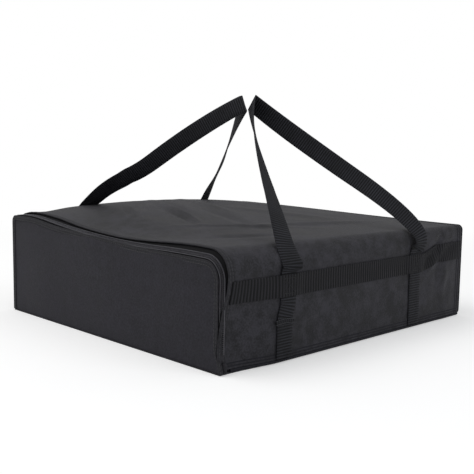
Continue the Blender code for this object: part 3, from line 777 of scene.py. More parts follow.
@dataclass(frozen=True)
class BagForm:
    """The form that the bag's pieces share, straight as in the solids and then as it sits.

    A place on the wrap is a number from 0 to 5: up the left side, round the left corner, over
    the top, round the right corner and down the right side.
    """

    width: float = 0.457
    depth: float = 0.480
    height: float = 0.135
    front_roll: float = 0.034
    back_roll: float = 0.0075
    left_roll: float = 0.010
    base_corner: float = 0.008
    cloth: float = 0.0012
    foam: float = 0.008
    liner: float = 0.0008
    gap: float = 0.0003
    mouth_setback: float = 0.016
    mouth_turn: float = radians(60.0)
    chain_setback: float = 0.0075
    border_lap: float = 0.0027
    facing_setback: float = 0.019
    facing_thick: float = 0.001
    left_low: float = 0.005
    left_rise: float = 0.0125
    crown: float = 0.003
    mouth_run: float = 0.085
    mouth_start: float = 0.012
    swell_power: float = 0.8
    left_share: float = 0.7
    tightest: float = 0.0004
    most_up: float = 1.1
    near_start: float = 0.010
    near_run: float = 0.075
    close_start: float = 0.008
    close_run: float = 0.030
    side_start: float = 0.016
    side_run: float = 0.013
    body_front_run: float = 0.05
    body_back_run: float = 0.03

    @property
    def half(self) -> float:
        """Half the width."""
        return self.width / 2

    @property
    def front(self) -> float:
        """The front plane."""
        return -self.depth / 2

    @property
    def back(self) -> float:
        """The back plane."""
        return self.depth / 2

    @property
    def layer_foam(self) -> float:
        """The inset of the foam's outer face."""
        return self.cloth + self.gap

    @property
    def layer_liner(self) -> float:
        """The inset of the liner's outer face."""
        return self.layer_foam + self.foam + self.gap

    @property
    def board_front(self) -> float:
        """The depth where the boards start."""
        return self.front + self.facing_setback + self.facing_thick + self.gap

    def roll(self, y: Array | float, right: Array | bool) -> Array:
        """Return the radius of the right or the left top corner at a depth."""
        share = (np.asarray(y, float) - self.front) / self.depth
        return np.where(right, self.front_roll + (self.back_roll - self.front_roll) * share, self.left_roll)

    def places(self, side: int, corner: int, top: int) -> Array:
        """Return places on the wrap with the given counts of steps in its five parts.

        Args:
            side: Steps up each side.
            corner: Steps round each corner.
            top: Steps over the top.

        Returns:
            The places, rising from 0 to 5.
        """
        counts = (side, corner, top, corner, side)
        parts = [k + np.arange(n) / n for k, n in enumerate(counts)]
        return np.concatenate([*parts, [5.0]])

    def arch(self, t: Array, y: Array, inset: Array | float, floor: float) -> tuple[Array, Array]:
        """Return points of the straight wrap and its outward normals.

        On a side the height runs from the floor to the corner. Round a corner the point is the
        corner's centre plus the radius times the normal. On the top X runs across.

        Args:
            t: Places on the wrap.
            y: Depths.
            inset: How far inside the wrap's outer face.
            floor: The height of both feet.

        Returns:
            The points and the normals, each with a last axis of 3.
        """
        t, y, inset = np.broadcast_arrays(np.asarray(t, float), y, inset)
        radius = np.maximum(self.roll(y, t > 2.5) - inset, self.tightest)
        reach = self.half - inset - radius
        rise = self.height - inset - radius
        left_reach = self.half - inset - np.maximum(self.left_roll - inset, self.tightest)
        right_reach = self.half - inset - np.maximum(self.roll(y, True) - inset, self.tightest)
        turn = np.select(
            [t < 1, t < 2, t < 3, t < 4],
            [pi, pi - (t - 1) * pi / 2, pi / 2, pi / 2 - (t - 3) * pi / 2],
            0.0,
        )
        normal = np.stack([np.cos(turn), np.zeros_like(turn), np.sin(turn)], axis=-1)
        share = np.clip(t - 2, 0, 1)
        middle = right_reach * share - left_reach * (1 - share)
        x = np.where(t < 2, -reach, np.where(t > 3, reach, middle)) + radius * normal[..., 0]
        up = np.select([t < 1, t > 4], [t, 5 - t], 1.0)
        z = np.where((t < 1) | (t > 4), floor + up * (rise - floor), rise + radius * normal[..., 2])
        return np.stack([x, y, z], axis=-1), normal

    def turn(self, t: Array) -> Array:
        """Return the zipper's turn out of the side into the front at a place on the wrap."""
        return self.mouth_turn * np.clip(np.asarray(t, float) - 2, 0, 1)

    def lift(self, x: Array, y: Array) -> Array:
        """Return how far the top stands over the solids' flat top.

        Near the mouth it follows the mouth's top edge. Behind it the left edge stands high
        along the middle, falls smoothly to the right, and a low crown is added.

        Args:
            x: Places across.
            y: Places in depth.

        Returns:
            The lift at each place.
        """
        x = np.clip(x, -self.half, self.half)
        y = np.clip(y, self.front, self.back)
        mouth = through(x, MOUTH_X, MOUTH_RISE)
        swell = np.sin(pi * (y - self.front) / self.depth) ** self.swell_power
        side = (self.left_low + self.left_rise * swell) * (1.0 - step((x + self.half) / self.width))
        crown = self.crown * (1 - (x / self.half) ** 2) * (1 - (y / self.back) ** 2)
        mix = step((y - self.front - self.mouth_start) / self.mouth_run)
        return mouth * (1 - mix) + (side + crown + soft_folds(x, y, TOP_FOLDS, TOP_HOLLOW)) * mix

    def settle(self, points: Array) -> Array:
        """Return points of the bag as it sits, from their straight places.

        Heights grow in proportion by the lift of the top. Near the mouth the right side is
        drawn in and forward by amounts that depend on the height.

        Args:
            points: Points of the straight bag, with a last axis of 3.

        Returns:
            The settled points.
        """
        x, y, z = points[..., 0], points[..., 1], points[..., 2]
        up = np.clip(z / self.height, 0.0, self.most_up)
        near = 1.0 - step((y - self.front - self.near_start) / self.near_run)
        close = 1.0 - step((y - self.front - self.close_start) / self.close_run)
        right = step((x - self.half + self.side_start) / self.side_run)
        draw = through(z, DRAW_Z, DRAW_IN) * near * right
        pull = through(z, DRAW_Z, DRAW_ON) * close * right
        body = step((y - self.front) / self.body_front_run) * step((self.back - y) / self.body_back_run)
        out = soft_folds(y, z, SIDE_FOLDS) * right * body
        left = step((-x - self.half + self.side_start) / self.side_run)
        out_left = soft_folds(-y, z, SIDE_FOLDS) * left * body * self.left_share
        rise = self.lift(x, y) * up
        return np.stack([x - draw + out - out_left, y - pull, z + rise], axis=-1)


# How far the mouth's top edge and the flap's stand over the solids', by their places in X
MOUTH_X = (-0.2285, -0.200, -0.185, -0.128, -0.075, -0.015, 0.030, 0.085, 0.125, 0.165, 0.200, 0.2285)
MOUTH_RISE = (0.006, 0.0105, 0.011, 0.008, 0.0015, -0.003, -0.0042, -0.0025, 0.0, 0.0015, 0.0012, 0.0)
FLAP_X = (-0.227, -0.173, -0.115, -0.041, 0.060, 0.200, 0.2285)
FLAP_RISE = (0.0065, 0.0085, 0.0045, 0.0025, 0.0005, 0.0018, 0.0015)
# How far the right side of the mouth is drawn in, and forward, by height
DRAW_Z = (0.0, 0.010, 0.019, 0.045, 0.059, 0.075, 0.090, 0.100, 0.115, 0.125, 0.135)
DRAW_IN = (0.009, 0.010, 0.011, 0.0105, 0.009, 0.007, 0.0048, 0.004, 0.0028, 0.0015, 0.0)
DRAW_ON = (0.0055, 0.0065, 0.0085, 0.0070, 0.006, 0.004, 0.0015, 0.0008, 0.0, 0.0, 0.0)
# Each fold's middle, its turn in degrees, its half length, its half width and its height: on the
# top by X and Y, and on the right side by Y and Z. The top's have hollows beside them.
TOP_HOLLOW = 1.8
TOP_FOLDS = (
    (-0.060, -0.062, -24.0, 0.110, 0.011, 0.0030),
    (-0.030, -0.088, -22.0, 0.090, 0.010, -0.0026),
    (0.012, -0.100, -28.0, 0.080, 0.009, 0.0026),
    (-0.095, -0.036, -26.0, 0.090, 0.012, -0.0022),
    (-0.125, -0.102, -30.0, 0.060, 0.010, 0.0022),
    (-0.145, -0.062, -34.0, 0.060, 0.011, -0.0020),
    (-0.100, 0.030, -20.0, 0.100, 0.016, 0.0024),
    (0.020, -0.040, -18.0, 0.090, 0.014, -0.0020),
    (0.085, -0.080, 56.0, 0.070, 0.013, 0.0022),
    (0.020, 0.080, 20.0, 0.080, 0.030, 0.0018),
    (0.110, 0.020, 80.0, 0.110, 0.018, 0.0024),
    (0.150, -0.130, 72.0, 0.050, 0.014, -0.0018),
    (-0.080, 0.160, 35.0, 0.060, 0.020, -0.0016),
)
SIDE_FOLDS = (
    (-0.2000, 0.060, 8.0, 0.035, 0.022, -0.0020),
    (-0.0600, 0.050, 12.0, 0.070, 0.026, 0.0016),
    (0.0550, 0.045, -10.0, 0.050, 0.022, -0.0012),
    (0.0000, 0.118, 2.0, 0.120, 0.012, 0.0012),
    (0.1800, 0.060, 35.0, 0.050, 0.016, 0.0022),
    (0.1950, 0.098, 28.0, 0.030, 0.008, -0.0026),
    (0.2050, 0.030, 70.0, 0.030, 0.012, 0.0014),
    (0.1560, 0.098, 38.0, 0.026, 0.0045, -0.0034),
    (0.1640, 0.088, 38.0, 0.026, 0.0050, 0.0034),
    (0.1760, 0.112, 64.0, 0.018, 0.0050, -0.0026),
    (0.1700, 0.062, 78.0, 0.026, 0.0060, -0.0018),
    (0.1900, 0.058, 84.0, 0.030, 0.0065, 0.0020),
    (-0.2050, 0.052, 62.0, 0.030, 0.0090, 0.0018),
    (-0.0900, 0.040, 30.0, 0.040, 0.0110, -0.0014),
    (0.0750, 0.050, -35.0, 0.040, 0.0120, 0.0014),
    (-0.1800, 0.108, -20.0, 0.026, 0.0070, -0.0018),
)


def soft_folds(a: Array, b: Array, folds: Sequence[Sequence[float]], hollow: float = 0.0) -> Array:
    """Return the height of soft folds at places on a face.

    Each fold is its height times a bell along it and a bell across it. A hollow beside it comes
    from a cosine across it.

    Args:
        a: The places' first number on the face.
        b: Their second number.
        folds: One row for each fold, as in TOP_FOLDS.
        hollow: How fast the cosine turns across the fold; 0 leaves the bells alone.

    Returns:
        The height at each place.
    """
    total = np.zeros(np.broadcast(a, b).shape)
    for middle_a, middle_b, angle, length, width, height in folds:
        c, s = cos(radians(angle)), sin(radians(angle))
        u = (a - middle_a) * c + (b - middle_b) * s
        v = (b - middle_b) * c - (a - middle_a) * s
        bell = np.exp(-((u / length) ** 2) - (v / width) ** 2)
        total = total + height * bell * np.cos(v / width * hollow)
    return total


FORM = BagForm()


@dataclass
class SubAssembly:
    """What every sub-assembly shares: the form, the finishes and how a piece is entered."""

    form: BagForm
    wardrobe: Wardrobe

    def enter(
        self,
        piece: bpy.types.Object,
        finish: Finish,
        body: str,
        stands_for: Iterable[str] = (),
    ) -> bpy.types.Object:
        """Attach a piece to its body and hide the nodes that it stands for.

        Args:
            piece: The piece.
            finish: Its finish; not used.
            body: The body that it rides on.
            stands_for: The nodes that it replaces.

        Returns:
            The piece.
        """
        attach(piece, body)
        nodes = tuple(stands_for)
        if nodes:
            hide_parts(*nodes)
        LOG.info("%s rides on %s, %d faces", piece.name, body, len(piece.data.polygons))
        return piece

    def shell(
        self,
        name: str,
        faces: tuple[Array, Array],
        finish: Finish,
        body: str,
        stands_for: Iterable[str] = (),
        ring: bool = False,
    ) -> bpy.types.Object:
        """Make a closed sheet between an outer and an inner grid, and enter it."""
        piece = make_shell(name, *faces, self.wardrobe.get(finish), ring)
        return self.enter(piece, finish, body, stands_for)

    def sweep(
        self,
        name: str,
        lines: tuple[Array, Array, Array],
        profile: Array,
        finish: Finish,
        body: str,
        stands_for: Iterable[str] = (),
        closed: bool = False,
    ) -> bpy.types.Object:
        """Carry a profile along a path with its directions across and up, and enter it."""
        piece = make_sweep(name, *lines, profile, self.wardrobe.get(finish), closed)
        return self.enter(piece, finish, body, stands_for)

    def stitches(
        self,
        name: str,
        path: Array,
        up: Array,
        body: str,
        pitch: float = 0.0042,
        size: tuple[float, float, float] = (0.0031, 0.0008, 0.0005),
        finish: Finish = Finish.THREAD,
    ) -> bpy.types.Object:
        """Sew a row of stitches along a path on a face whose normals are given.

        Args:
            name: The piece's name.
            path: The line that is sewn along.
            up: The face's normal at each of its points.
            body: The body that it rides on.
            pitch: The length from one stitch to the next.
            size: A stitch's length, width and height.
            finish: Its thread.

        Returns:
            The row of stitches as one piece.
        """
        length = travelled(path)[-1]
        count = max(int(length / pitch), 1)
        centres, normals = resample(path, (np.arange(count) + 0.5) * length / count, up)
        piece = make_grains(
            name, centres, along(centres), unit(normals), size, self.wardrobe.get(finish)
        )
        return self.enter(piece, finish, body)


@dataclass
class Wrap(SubAssembly):
    """The cloth over the top and sides, with the padding and lining under it."""

    floor: float = 0.0049
    rows: int = 130

    def grid(self, t: Array, inset: float, starts: Array, end: float, floor: float, rows: int) -> Array:
        """Return a settled grid of the wrap from a front line to a depth.

        Args:
            t: The places of its columns.
            inset: How far inside the outer face.
            starts: The depth of its front edge at each place.
            end: The depth of its back edge.
            floor: The height of its feet.
            rows: The number of rows; they are closer near the front.

        Returns:
            A grid of points, rows by columns by 3.
        """
        share = np.linspace(0.0, 1.0, rows)[:, None] ** 1.25
        y = starts[None, :] * (1 - share) + end * share
        points, _ = self.form.arch(np.broadcast_to(t, y.shape), y, inset, floor)
        return self.form.settle(points)

    def cover(self) -> None:
        form = self.form
        t = form.places(22, 12, 110)
        starts = form.front + form.mouth_setback * np.cos(form.turn(t)) + 0.0082
        back = form.back - 0.0040
        outer = self.grid(t, 0.0, starts, back, self.floor, self.rows)
        inner = self.grid(t, form.cloth, starts, back, self.floor, self.rows)
        piece = self.shell("wrap_cloth", (outer, inner), Finish.CLOTH, "bag", ("outer_wrap",))

    def padding(self) -> None:
        """Make the foam over the top and sides as one closed pad."""
        form = self.form
        t = form.places(10, 8, 80)
        starts = np.full(len(t), form.board_front)
        end = form.back - form.layer_liner
        outer = self.grid(t, form.layer_foam + form.gap * 2, starts, end, self.floor, 110)
        inner = self.grid(t, form.layer_foam + form.foam, starts, end, self.floor, 110)
        nodes = ("foam_top", "foam_left", "foam_right")
        piece = self.shell("wrap_padding", (outer, inner), Finish.FOAM, "bag", nodes)

    def lining(self) -> None:
        """Make the foil lining of the top and sides."""
        form = self.form
        t = form.places(14, 8, 80)
        starts = np.full(len(t), form.board_front)
        end = form.back - form.layer_liner - form.liner - form.gap
        outer = self.grid(t, form.layer_liner, starts, end, form.layer_liner, 110)
        inner = self.grid(t, form.layer_liner + form.liner, starts, end, form.layer_liner, 110)
        piece = self.shell("wrap_lining", (outer, inner), Finish.LINER, "bag", ("liner_wrap",))

    def build(self) -> None:
        """Make the three layers."""
        self.padding()
        self.cover()
        self.lining()


@dataclass
class Mouth(SubAssembly):
    """The hem round the mouth, the facing behind it and the body's half of the zipper."""

    floor: float = 0.0049
    hem_width: float = 0.008
    tape_foot: float = 0.0138
    chain_inset: float = 0.0019
    tape_reach: float = 0.0034
    tooth_pitch: float = 0.0023
    parted: float = 0.00145
    parted_top: float = 0.1013
    parted_run: float = 0.006
    chain_foot: float = 0.018
    push_in: float = 0.0026
    push_back: float = 0.0022
    push_top: float = 0.098
    push_run: float = 0.075
    tooth_size: tuple[float, float, float] = (0.0032, 0.00092, 0.0021)
    tooth_reach: float = 0.0011
    cord_reach: float = 0.0026
    cord_lift: float = 0.0005
    cord_size: tuple[float, float] = (0.0011, 0.0016)
    tape_bend: tuple[float, float] = (0.0022, 0.0008)
    tape_under: tuple[float, float] = (0.0024, 0.0026)
    tape_lap: float = 0.0012
    tape_bow: float = 0.0002
    tape_thick: float = 0.0008

    def line(self, t: Array, inset: Array | float, behind: Array | float, floor: float) -> Array:
        """Return a settled line round the mouth, at a distance behind the hem's front edge.

        Args:
            t: Places on the wrap.
            inset: How far inside the wrap's outer face.
            behind: How far behind the hem's front edge.
            floor: The height of its feet.

        Returns:
            The line's points.
        """
        turn = self.form.turn(t)
        y = self.form.front + self.form.mouth_setback * np.cos(turn) + behind
        points, _ = self.form.arch(t, y, inset, floor)
        return self.form.settle(points)

    def hem(self) -> None:
        """Make the hem: a rolled edge and two sewn grooves, carried along the mouth."""
        t = self.form.places(30, 14, 90)
        edge = self.line(t, 0.0, 0.0, self.floor)
        far = self.line(t, 0.0, self.hem_width, self.floor)
        across = unit(far - edge)
        up = unit(np.cross(along(edge), across))
        up = up * np.sign(np.sum(up * self.outward(t), axis=1, keepdims=True))
        width = np.linalg.norm(far - edge, axis=1)[:, None] / self.hem_width
        profile = np.broadcast_to(HEM_PROFILE, (len(t), *HEM_PROFILE.shape)).copy()
        profile[..., 0] *= width
        self.sweep("mouth_binding", (edge, across, up), profile, Finish.BINDING, "bag", ("mouth_hem",))
        for name, share in (("hem_stitches_front", 0.0024), ("hem_stitches_back", 0.0064)):
            path = edge + across * share * width + up * STITCH_LIFT
            self.stitches(name, path, up, "bag")

    def outward(self, t: Array) -> Array:
        """Return the outward normals of the wrap at places round the mouth."""
        return self.form.arch(t, self.form.front, 0.0, self.floor)[1]

    def facing(self) -> None:
        """Make the strip that closes the front edge of the padding."""
        form = self.form
        t = form.places(10, 8, 30)
        depth = form.front + form.facing_setback
        rings = []
        for inset in (form.layer_foam, form.layer_liner + form.liner):
            points, _ = form.arch(t, depth, inset, inset)
            rings.append(form.settle(points))
        outer = np.stack(rings)
        faces = (outer, outer + form.facing_thick * DEEP)
        self.shell("mouth_edging", faces, Finish.BINDING, "bag", ("mouth_facing",), ring=True)

    def squeeze(self, t: Array, z: Array) -> Array:
        """Return how far the chain is pushed in at the right foot: 0 to 1."""
        return step((self.push_top - z) / self.push_run) * (t > 3)

    def straight_chain(self, t: Array, floor: float) -> tuple[Array, Array]:
        """Return the line where the rows of teeth meet in the solids, and the wrap's normals.

        Its inset and depth come from the zipper's turn.

        Args:
            t: Places on the wrap.
            floor: The height of its feet.

        Returns:
            The line's points and the normals there.
        """
        form = self.form
        turn = form.turn(t)
        inset = self.chain_inset + (form.mouth_setback - form.chain_setback) * np.sin(turn)
        points, normal = form.arch(t, form.front + form.chain_setback, inset, floor)
        points[:, 1] = form.front + form.chain_setback * np.cos(turn)
        return points, normal

    def chain(self, t: Array, floor: float) -> tuple[Array, Array, Array]:
        """Return the line where the rows of teeth meet, and the directions across and out.

        At the right foot it is pushed in behind the drawn-in hem. Its lift is the mean of the
        hem's and the flap's.

        Args:
            t: Places on the wrap.
            floor: The height of its feet.

        Returns:
            The line's points, and the two directions at each.
        """
        points, normal = self.straight_chain(t, floor)
        push = self.squeeze(t, points[:, 2])
        points[:, 0] -= self.push_in * push
        points[:, 1] += self.push_back * push
        points[:, 2] += zip_lift(points)
        turn = self.form.turn(t)[:, None]
        across = np.cos(turn) * DEEP + np.sin(turn) * normal
        out = np.cos(turn) * normal - np.sin(turn) * DEEP
        return points, across, out

    def parting(self, points: Array) -> Array:
        """Return how far each row stands back where the slider runs, as in the solids."""
        share = np.clip((self.parted_top - points[:, 2]) / self.parted_run, 0.0, 1.0)
        return (self.parted * share * (points[:, 0] < 0))[:, None]

    def teeth(self, name: str, row: int, low: float, nodes: tuple[str, ...], body: str) -> None:
        """Make one row of teeth: bars across the chain, half a pitch from the other row.

        Args:
            name: The piece's name.
            row: -1 for the flap's row and 1 for the wrap's.
            low: The height where the row starts on the left.
            nodes: The nodes that it stands for.
            body: The body that it rides on.
        """
        fine = np.linspace(0.0, 5.0, 2001)
        path, across, out = self.chain(fine, self.chain_foot)
        length = travelled(path)
        count = int(length[-1] / self.tooth_pitch)
        shift = 0.25 if row > 0 else 0.75
        places = (np.arange(count) + shift) * self.tooth_pitch
        centres, over, up = resample(path, places, across, out)
        keep = (centres[:, 0] > 0) | (centres[:, 2] > low)
        centres, over, up = centres[keep], unit(over[keep]), unit(up[keep])
        middle = centres + row * over * (self.tooth_reach + self.parting(centres))
        finish = self.wardrobe.get(Finish.TEETH)
        piece = make_grains(name, middle, over, up, self.tooth_size, finish)
        self.enter(piece, Finish.TEETH, body, nodes)
        cord = centres + row * over * (self.cord_reach + self.parting(centres)) + up * self.cord_lift
        across_cord = np.cross(along(cord), up)
        ring = round_profile(*self.cord_size, 6)
        self.sweep(name + "_cord", (cord, across_cord, up), ring, Finish.TEETH, body)

    def tape(self) -> None:
        """Make the tape from the chain to under the hem."""
        t = self.form.places(40, 14, 90)
        path, _, out = self.chain(t, self.tape_foot)
        bend = self.line(t, *self.tape_bend, self.tape_foot)
        under = self.line(t, *self.tape_under, self.tape_foot)
        toward = unit(bend - path)
        inner = path + toward * (self.tape_reach + self.parting(path) - self.tape_lap)
        middle = (inner + bend) / 2 + out * self.tape_bow
        rows = np.stack([inner, middle, bend, under])
        self.shell("body_tape", (rows, self.shade(rows)), Finish.TAPE, "bag", ("zipper_tape_body",))

    def shade(self, rows: Array) -> Array:
        """Return a grid moved inwards along its normals by the tape's thickness."""
        normal = grid_normals(rows)
        middle = np.array([0.0, self.form.front + 0.02, self.form.height / 2])
        sign = np.sign(np.sum(normal * (rows - middle), axis=-1, keepdims=True))
        return rows - normal * sign * self.tape_thick

    def end_tabs(self) -> None:
        """Make the folded tabs that close the tape's two feet: a loop of binding each."""
        for name, place, wide, tall, drop in (
            ("zipper_end_tab_left", 0.0, 0.0060, 0.0040, (0.0, 0.0, 0.0)),
            ("zipper_end_tab_right", 5.0, 0.0076, 0.0050, (-0.0012, -0.0022, 0.0002)),
        ):
            low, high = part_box(name)
            centre = (np.array(low) + np.array(high)) / 2
            feet = np.array([place, place])
            path, across, out = self.chain(feet, self.tape_foot)
            straight, _ = self.straight_chain(feet, self.tape_foot)
            heights = np.linspace(-0.5, 0.5, 15)
            spread = np.sqrt(np.clip(1.0 - (2 * heights) ** 4, 0.02, 1.0))
            centre = centre + (path[0] - straight[0]) * (1, 1, 0) + drop
            path = centre + np.outer(heights * (high[2] - low[2]), RISE)
            ring = round_profile(wide, tall, 12)[None] * spread[:, None, None]
            over = np.broadcast_to(across[0], path.shape)
            up = np.broadcast_to(out[0], path.shape)
            self.sweep(name + "_fold", (path, over, up), ring, Finish.BINDING, "bag", (name,))

    def build(self) -> None:
        """Make the hem, the facing, the tape, the teeth and the end tabs."""
        self.hem()
        self.facing()
        self.tape()
        self.teeth("body_teeth", 1, 0.0, ("zipper_teeth_body",), "bag")
        self.end_tabs()


# The hem's outline and the border's: along the width from the edge, and out of the face
HEM_PROFILE = np.array(
    [
        (0.0, -0.0013), (-0.0006, -0.0006), (-0.0004, 0.0002), (0.0006, 0.0006), (0.0016, 0.0004),
        (0.0024, 0.00005), (0.0032, 0.00035), (0.0048, 0.0004), (0.0058, 0.0003), (0.0064, 0.00005),
        (0.0070, 0.0003), (0.0079, 0.0002), (0.0082, -0.0006), (0.0078, -0.00115), (0.0040, -0.0012),
    ]
)
BORDER_PROFILE = np.array(
    [
        (0.0003, -0.0019), (-0.0003, -0.0011), (-0.0004, -0.0002), (0.0004, 0.00045),
        (0.0014, 0.0004), (0.0022, 0.00005), (0.0030, 0.0003), (0.0048, 0.0003), (0.0056, 0.00005),
        (0.0062, 0.0002), (0.0067, -0.0002), (0.0065, -0.0009), (0.0030, -0.0010), (0.0012, -0.0012),
    ]
)


def zip_lift(points: Array) -> Array:
    """Return the lift of the zipper: the mean of the hem's and the flap's, by height.

    Args:
        points: Points of the zipper.

    Returns:
        The lift of each.
    """
    x = points[..., 0]
    up = np.clip(points[..., 2] / FORM.height, 0.0, FORM.most_up)
    return (through(x, MOUTH_X, MOUTH_RISE) + through(x, FLAP_X, FLAP_RISE)) / 2 * up


def flap_lift(points: Array) -> Array:
    """Return the lift of the flap by height."""
    up = np.clip(points[..., 2] / FORM.height, 0.0, FORM.most_up)
    return through(points[..., 0], FLAP_X, FLAP_RISE) * up


@dataclass
class Flap(SubAssembly):
    """The padded front flap: cover, padding, lining, border and its half of the zipper."""

    mouth: Mouth
    floor: float = 0.0015
    inset: float = 0.004
    bulge: float = 0.0012
    columns: int = 96
    spread: float = 0.0080
    spread_top: float = 0.003
    spread_run: float = 0.026
    cover_depth: float = 0.0012
    cover_thick: float = 0.001
    pad_front: float = 0.0013
    pad_back: float = 0.0070
    lining_front: float = 0.0073
    lining_thick: float = 0.0008
    level_run: float = 0.12
    tape_under: tuple[float, float] = (0.0022, 0.0018)
    edge_insets: tuple[float, float] = (0.0007, 0.0002)
    edge_depths: tuple[float, float, float] = (0.0030, 0.0050, 0.0071)

    def edge(self, t: Array, inward: Array | float, depth: Array | float, floor: float) -> Array:
        """Return a line round the flap at a distance inward from its edge, lifted.

        Args:
            t: Places on the wrap.
            inward: How far inside the flap's edge.
            depth: How far behind the front plane.
            floor: The height of its feet.

        Returns:
            The line's points.
        """
        form = self.form
        inset = form.layer_foam + (form.mouth_setback - form.border_lap) * np.sin(form.turn(t))
        points, _ = form.arch(t, form.front + form.chain_setback, inset + inward, floor)
        low = 1 - step((points[..., 2] - self.spread_top) / self.spread_run)
        points[..., 0] += self.spread * low * (points[..., 0] > 0)
        points[..., 1] = form.front + depth
        points[..., 2] += flap_lift(points)
        return points

    def panel(self, inward: float, depth: Array | float, rows: int) -> tuple[Array, Array]:
        """Return a grid over the flap and how far each point is from the edge, 0 to 1.

        Each row joins a place on the left edge to the same place on the right edge.

        Args:
            inward: How far inside the flap's edge.
            depth: How far behind the front plane.
            rows: The rows up the side.

        Returns:
            The grid's points, and the share at each.
        """
        up = np.concatenate([np.linspace(0.0, 1.0, rows), 1.0 + np.arange(1, 9) / 8])
        left = self.edge(up, inward, depth, self.floor)
        right = self.edge(5.0 - up, inward, depth, self.floor)
        share = (0.5 - 0.5 * np.cos(np.linspace(0.0, pi, self.columns)))[None, :, None]
        points = left[:, None] * (1 - share) + right[:, None] * share
        share_up = np.clip(points[..., 2] / self.form.height, 0, 1)
        top = through(points[..., 0], FLAP_X, FLAP_RISE) * share_up
        ends = top[:, :1] * (1 - share[..., 0]) + top[:, -1:] * share[..., 0]
        points[..., 2] += (top - ends) * step(points[..., 2] / self.level_run)
        x = np.abs(points[..., 0]) / self.form.half
        z = np.clip(points[..., 2] / self.form.height, 0.0, 1.0)
        room = (1 - np.clip(x, 0, 1) ** 4) * np.clip(z * 6, 0, 1) * np.clip((1 - z) * 9, 0, 1)
        return points, room

    def layers(self) -> None:
        """Make the cover, a shallow pillow between its sewn edges, and what lies behind it."""
        points, room = self.panel(self.inset, self.cover_depth, 40)
        x, z = points[..., 0], points[..., 2]
        ripple = 0.0005 * np.sin(x * 36 + z * 21) + 0.0004 * np.sin(x * 17 - z * 52 + 1.3)
        outer = points.copy()
        outer[..., 1] -= (self.bulge + ripple) * step(room)
        cover = (outer, outer + self.cover_thick * DEEP)
        piece = self.shell("flap_cloth", cover, Finish.FLAP_CLOTH, "flap", ("flap_cover",))
        pad = (outer + self.pad_front * DEEP, points + self.pad_back * DEEP)
        self.shell("flap_padding", pad, Finish.FOAM, "flap", ("flap_foam",))
        self.edge_tape()
        lining = points + self.lining_front * DEEP
        foil = (lining, lining + self.lining_thick * DEEP)
        piece = self.shell("flap_lining", foil, Finish.LINER, "flap", ("flap_liner",))

    def edge_tape(self) -> None:
        """Make the tape that covers the padding's edge, from the cover to the lining."""
        t = self.form.places(40, 14, 90)
        faces = tuple(
            np.stack([self.edge(t, self.inset - inward, depth, self.floor) for depth in self.edge_depths])
            for inward in self.edge_insets
        )
        self.shell("flap_edge_tape", faces, Finish.TAPE, "flap")

    def border(self) -> None:
        """Make the border: a rolled, twice-sewn binding carried round the flap's edge."""
        t = self.form.places(30, 14, 90)
        edge = self.edge(t, 0.0, 0.0004, self.floor)
        inward = self.edge(t, 0.004, 0.0004, self.floor)
        across = unit(inward - edge)
        up = np.broadcast_to(-DEEP, edge.shape)
        lines = (edge, across, up)
        self.sweep("flap_binding", lines, BORDER_PROFILE, Finish.BINDING, "flap", ("flap_border",))
        for name, reach in (("border_stitches_outer", 0.0022), ("border_stitches_inner", 0.0056)):
            self.stitches(name, edge + across * reach + up * STITCH_LIFT, up, "flap")

    def tape(self) -> None:
        """Make the tape from the chain to behind the border."""
        t = self.form.places(40, 14, 90)
        path, _, out = self.mouth.chain(t, self.floor)
        under = self.edge(t, *self.tape_under, self.floor)
        toward = unit(under - path)
        part = self.mouth.parting(path)
        inner = path + toward * (self.mouth.tape_reach - self.mouth.tape_lap + part)
        rows = np.stack([under, (under + inner) / 2 + out * self.mouth.tape_bow, inner])
        faces = (rows, self.mouth.shade(rows))
        self.shell("flap_tape", faces, Finish.TAPE, "flap", ("zipper_tape_flap",))

    def build(self) -> None:
        """Make the flap's pieces."""
        self.layers()
        self.border()
        self.tape()
        self.mouth.teeth("flap_teeth", -1, 0.0545, ("zipper_teeth_flap",), "flap")


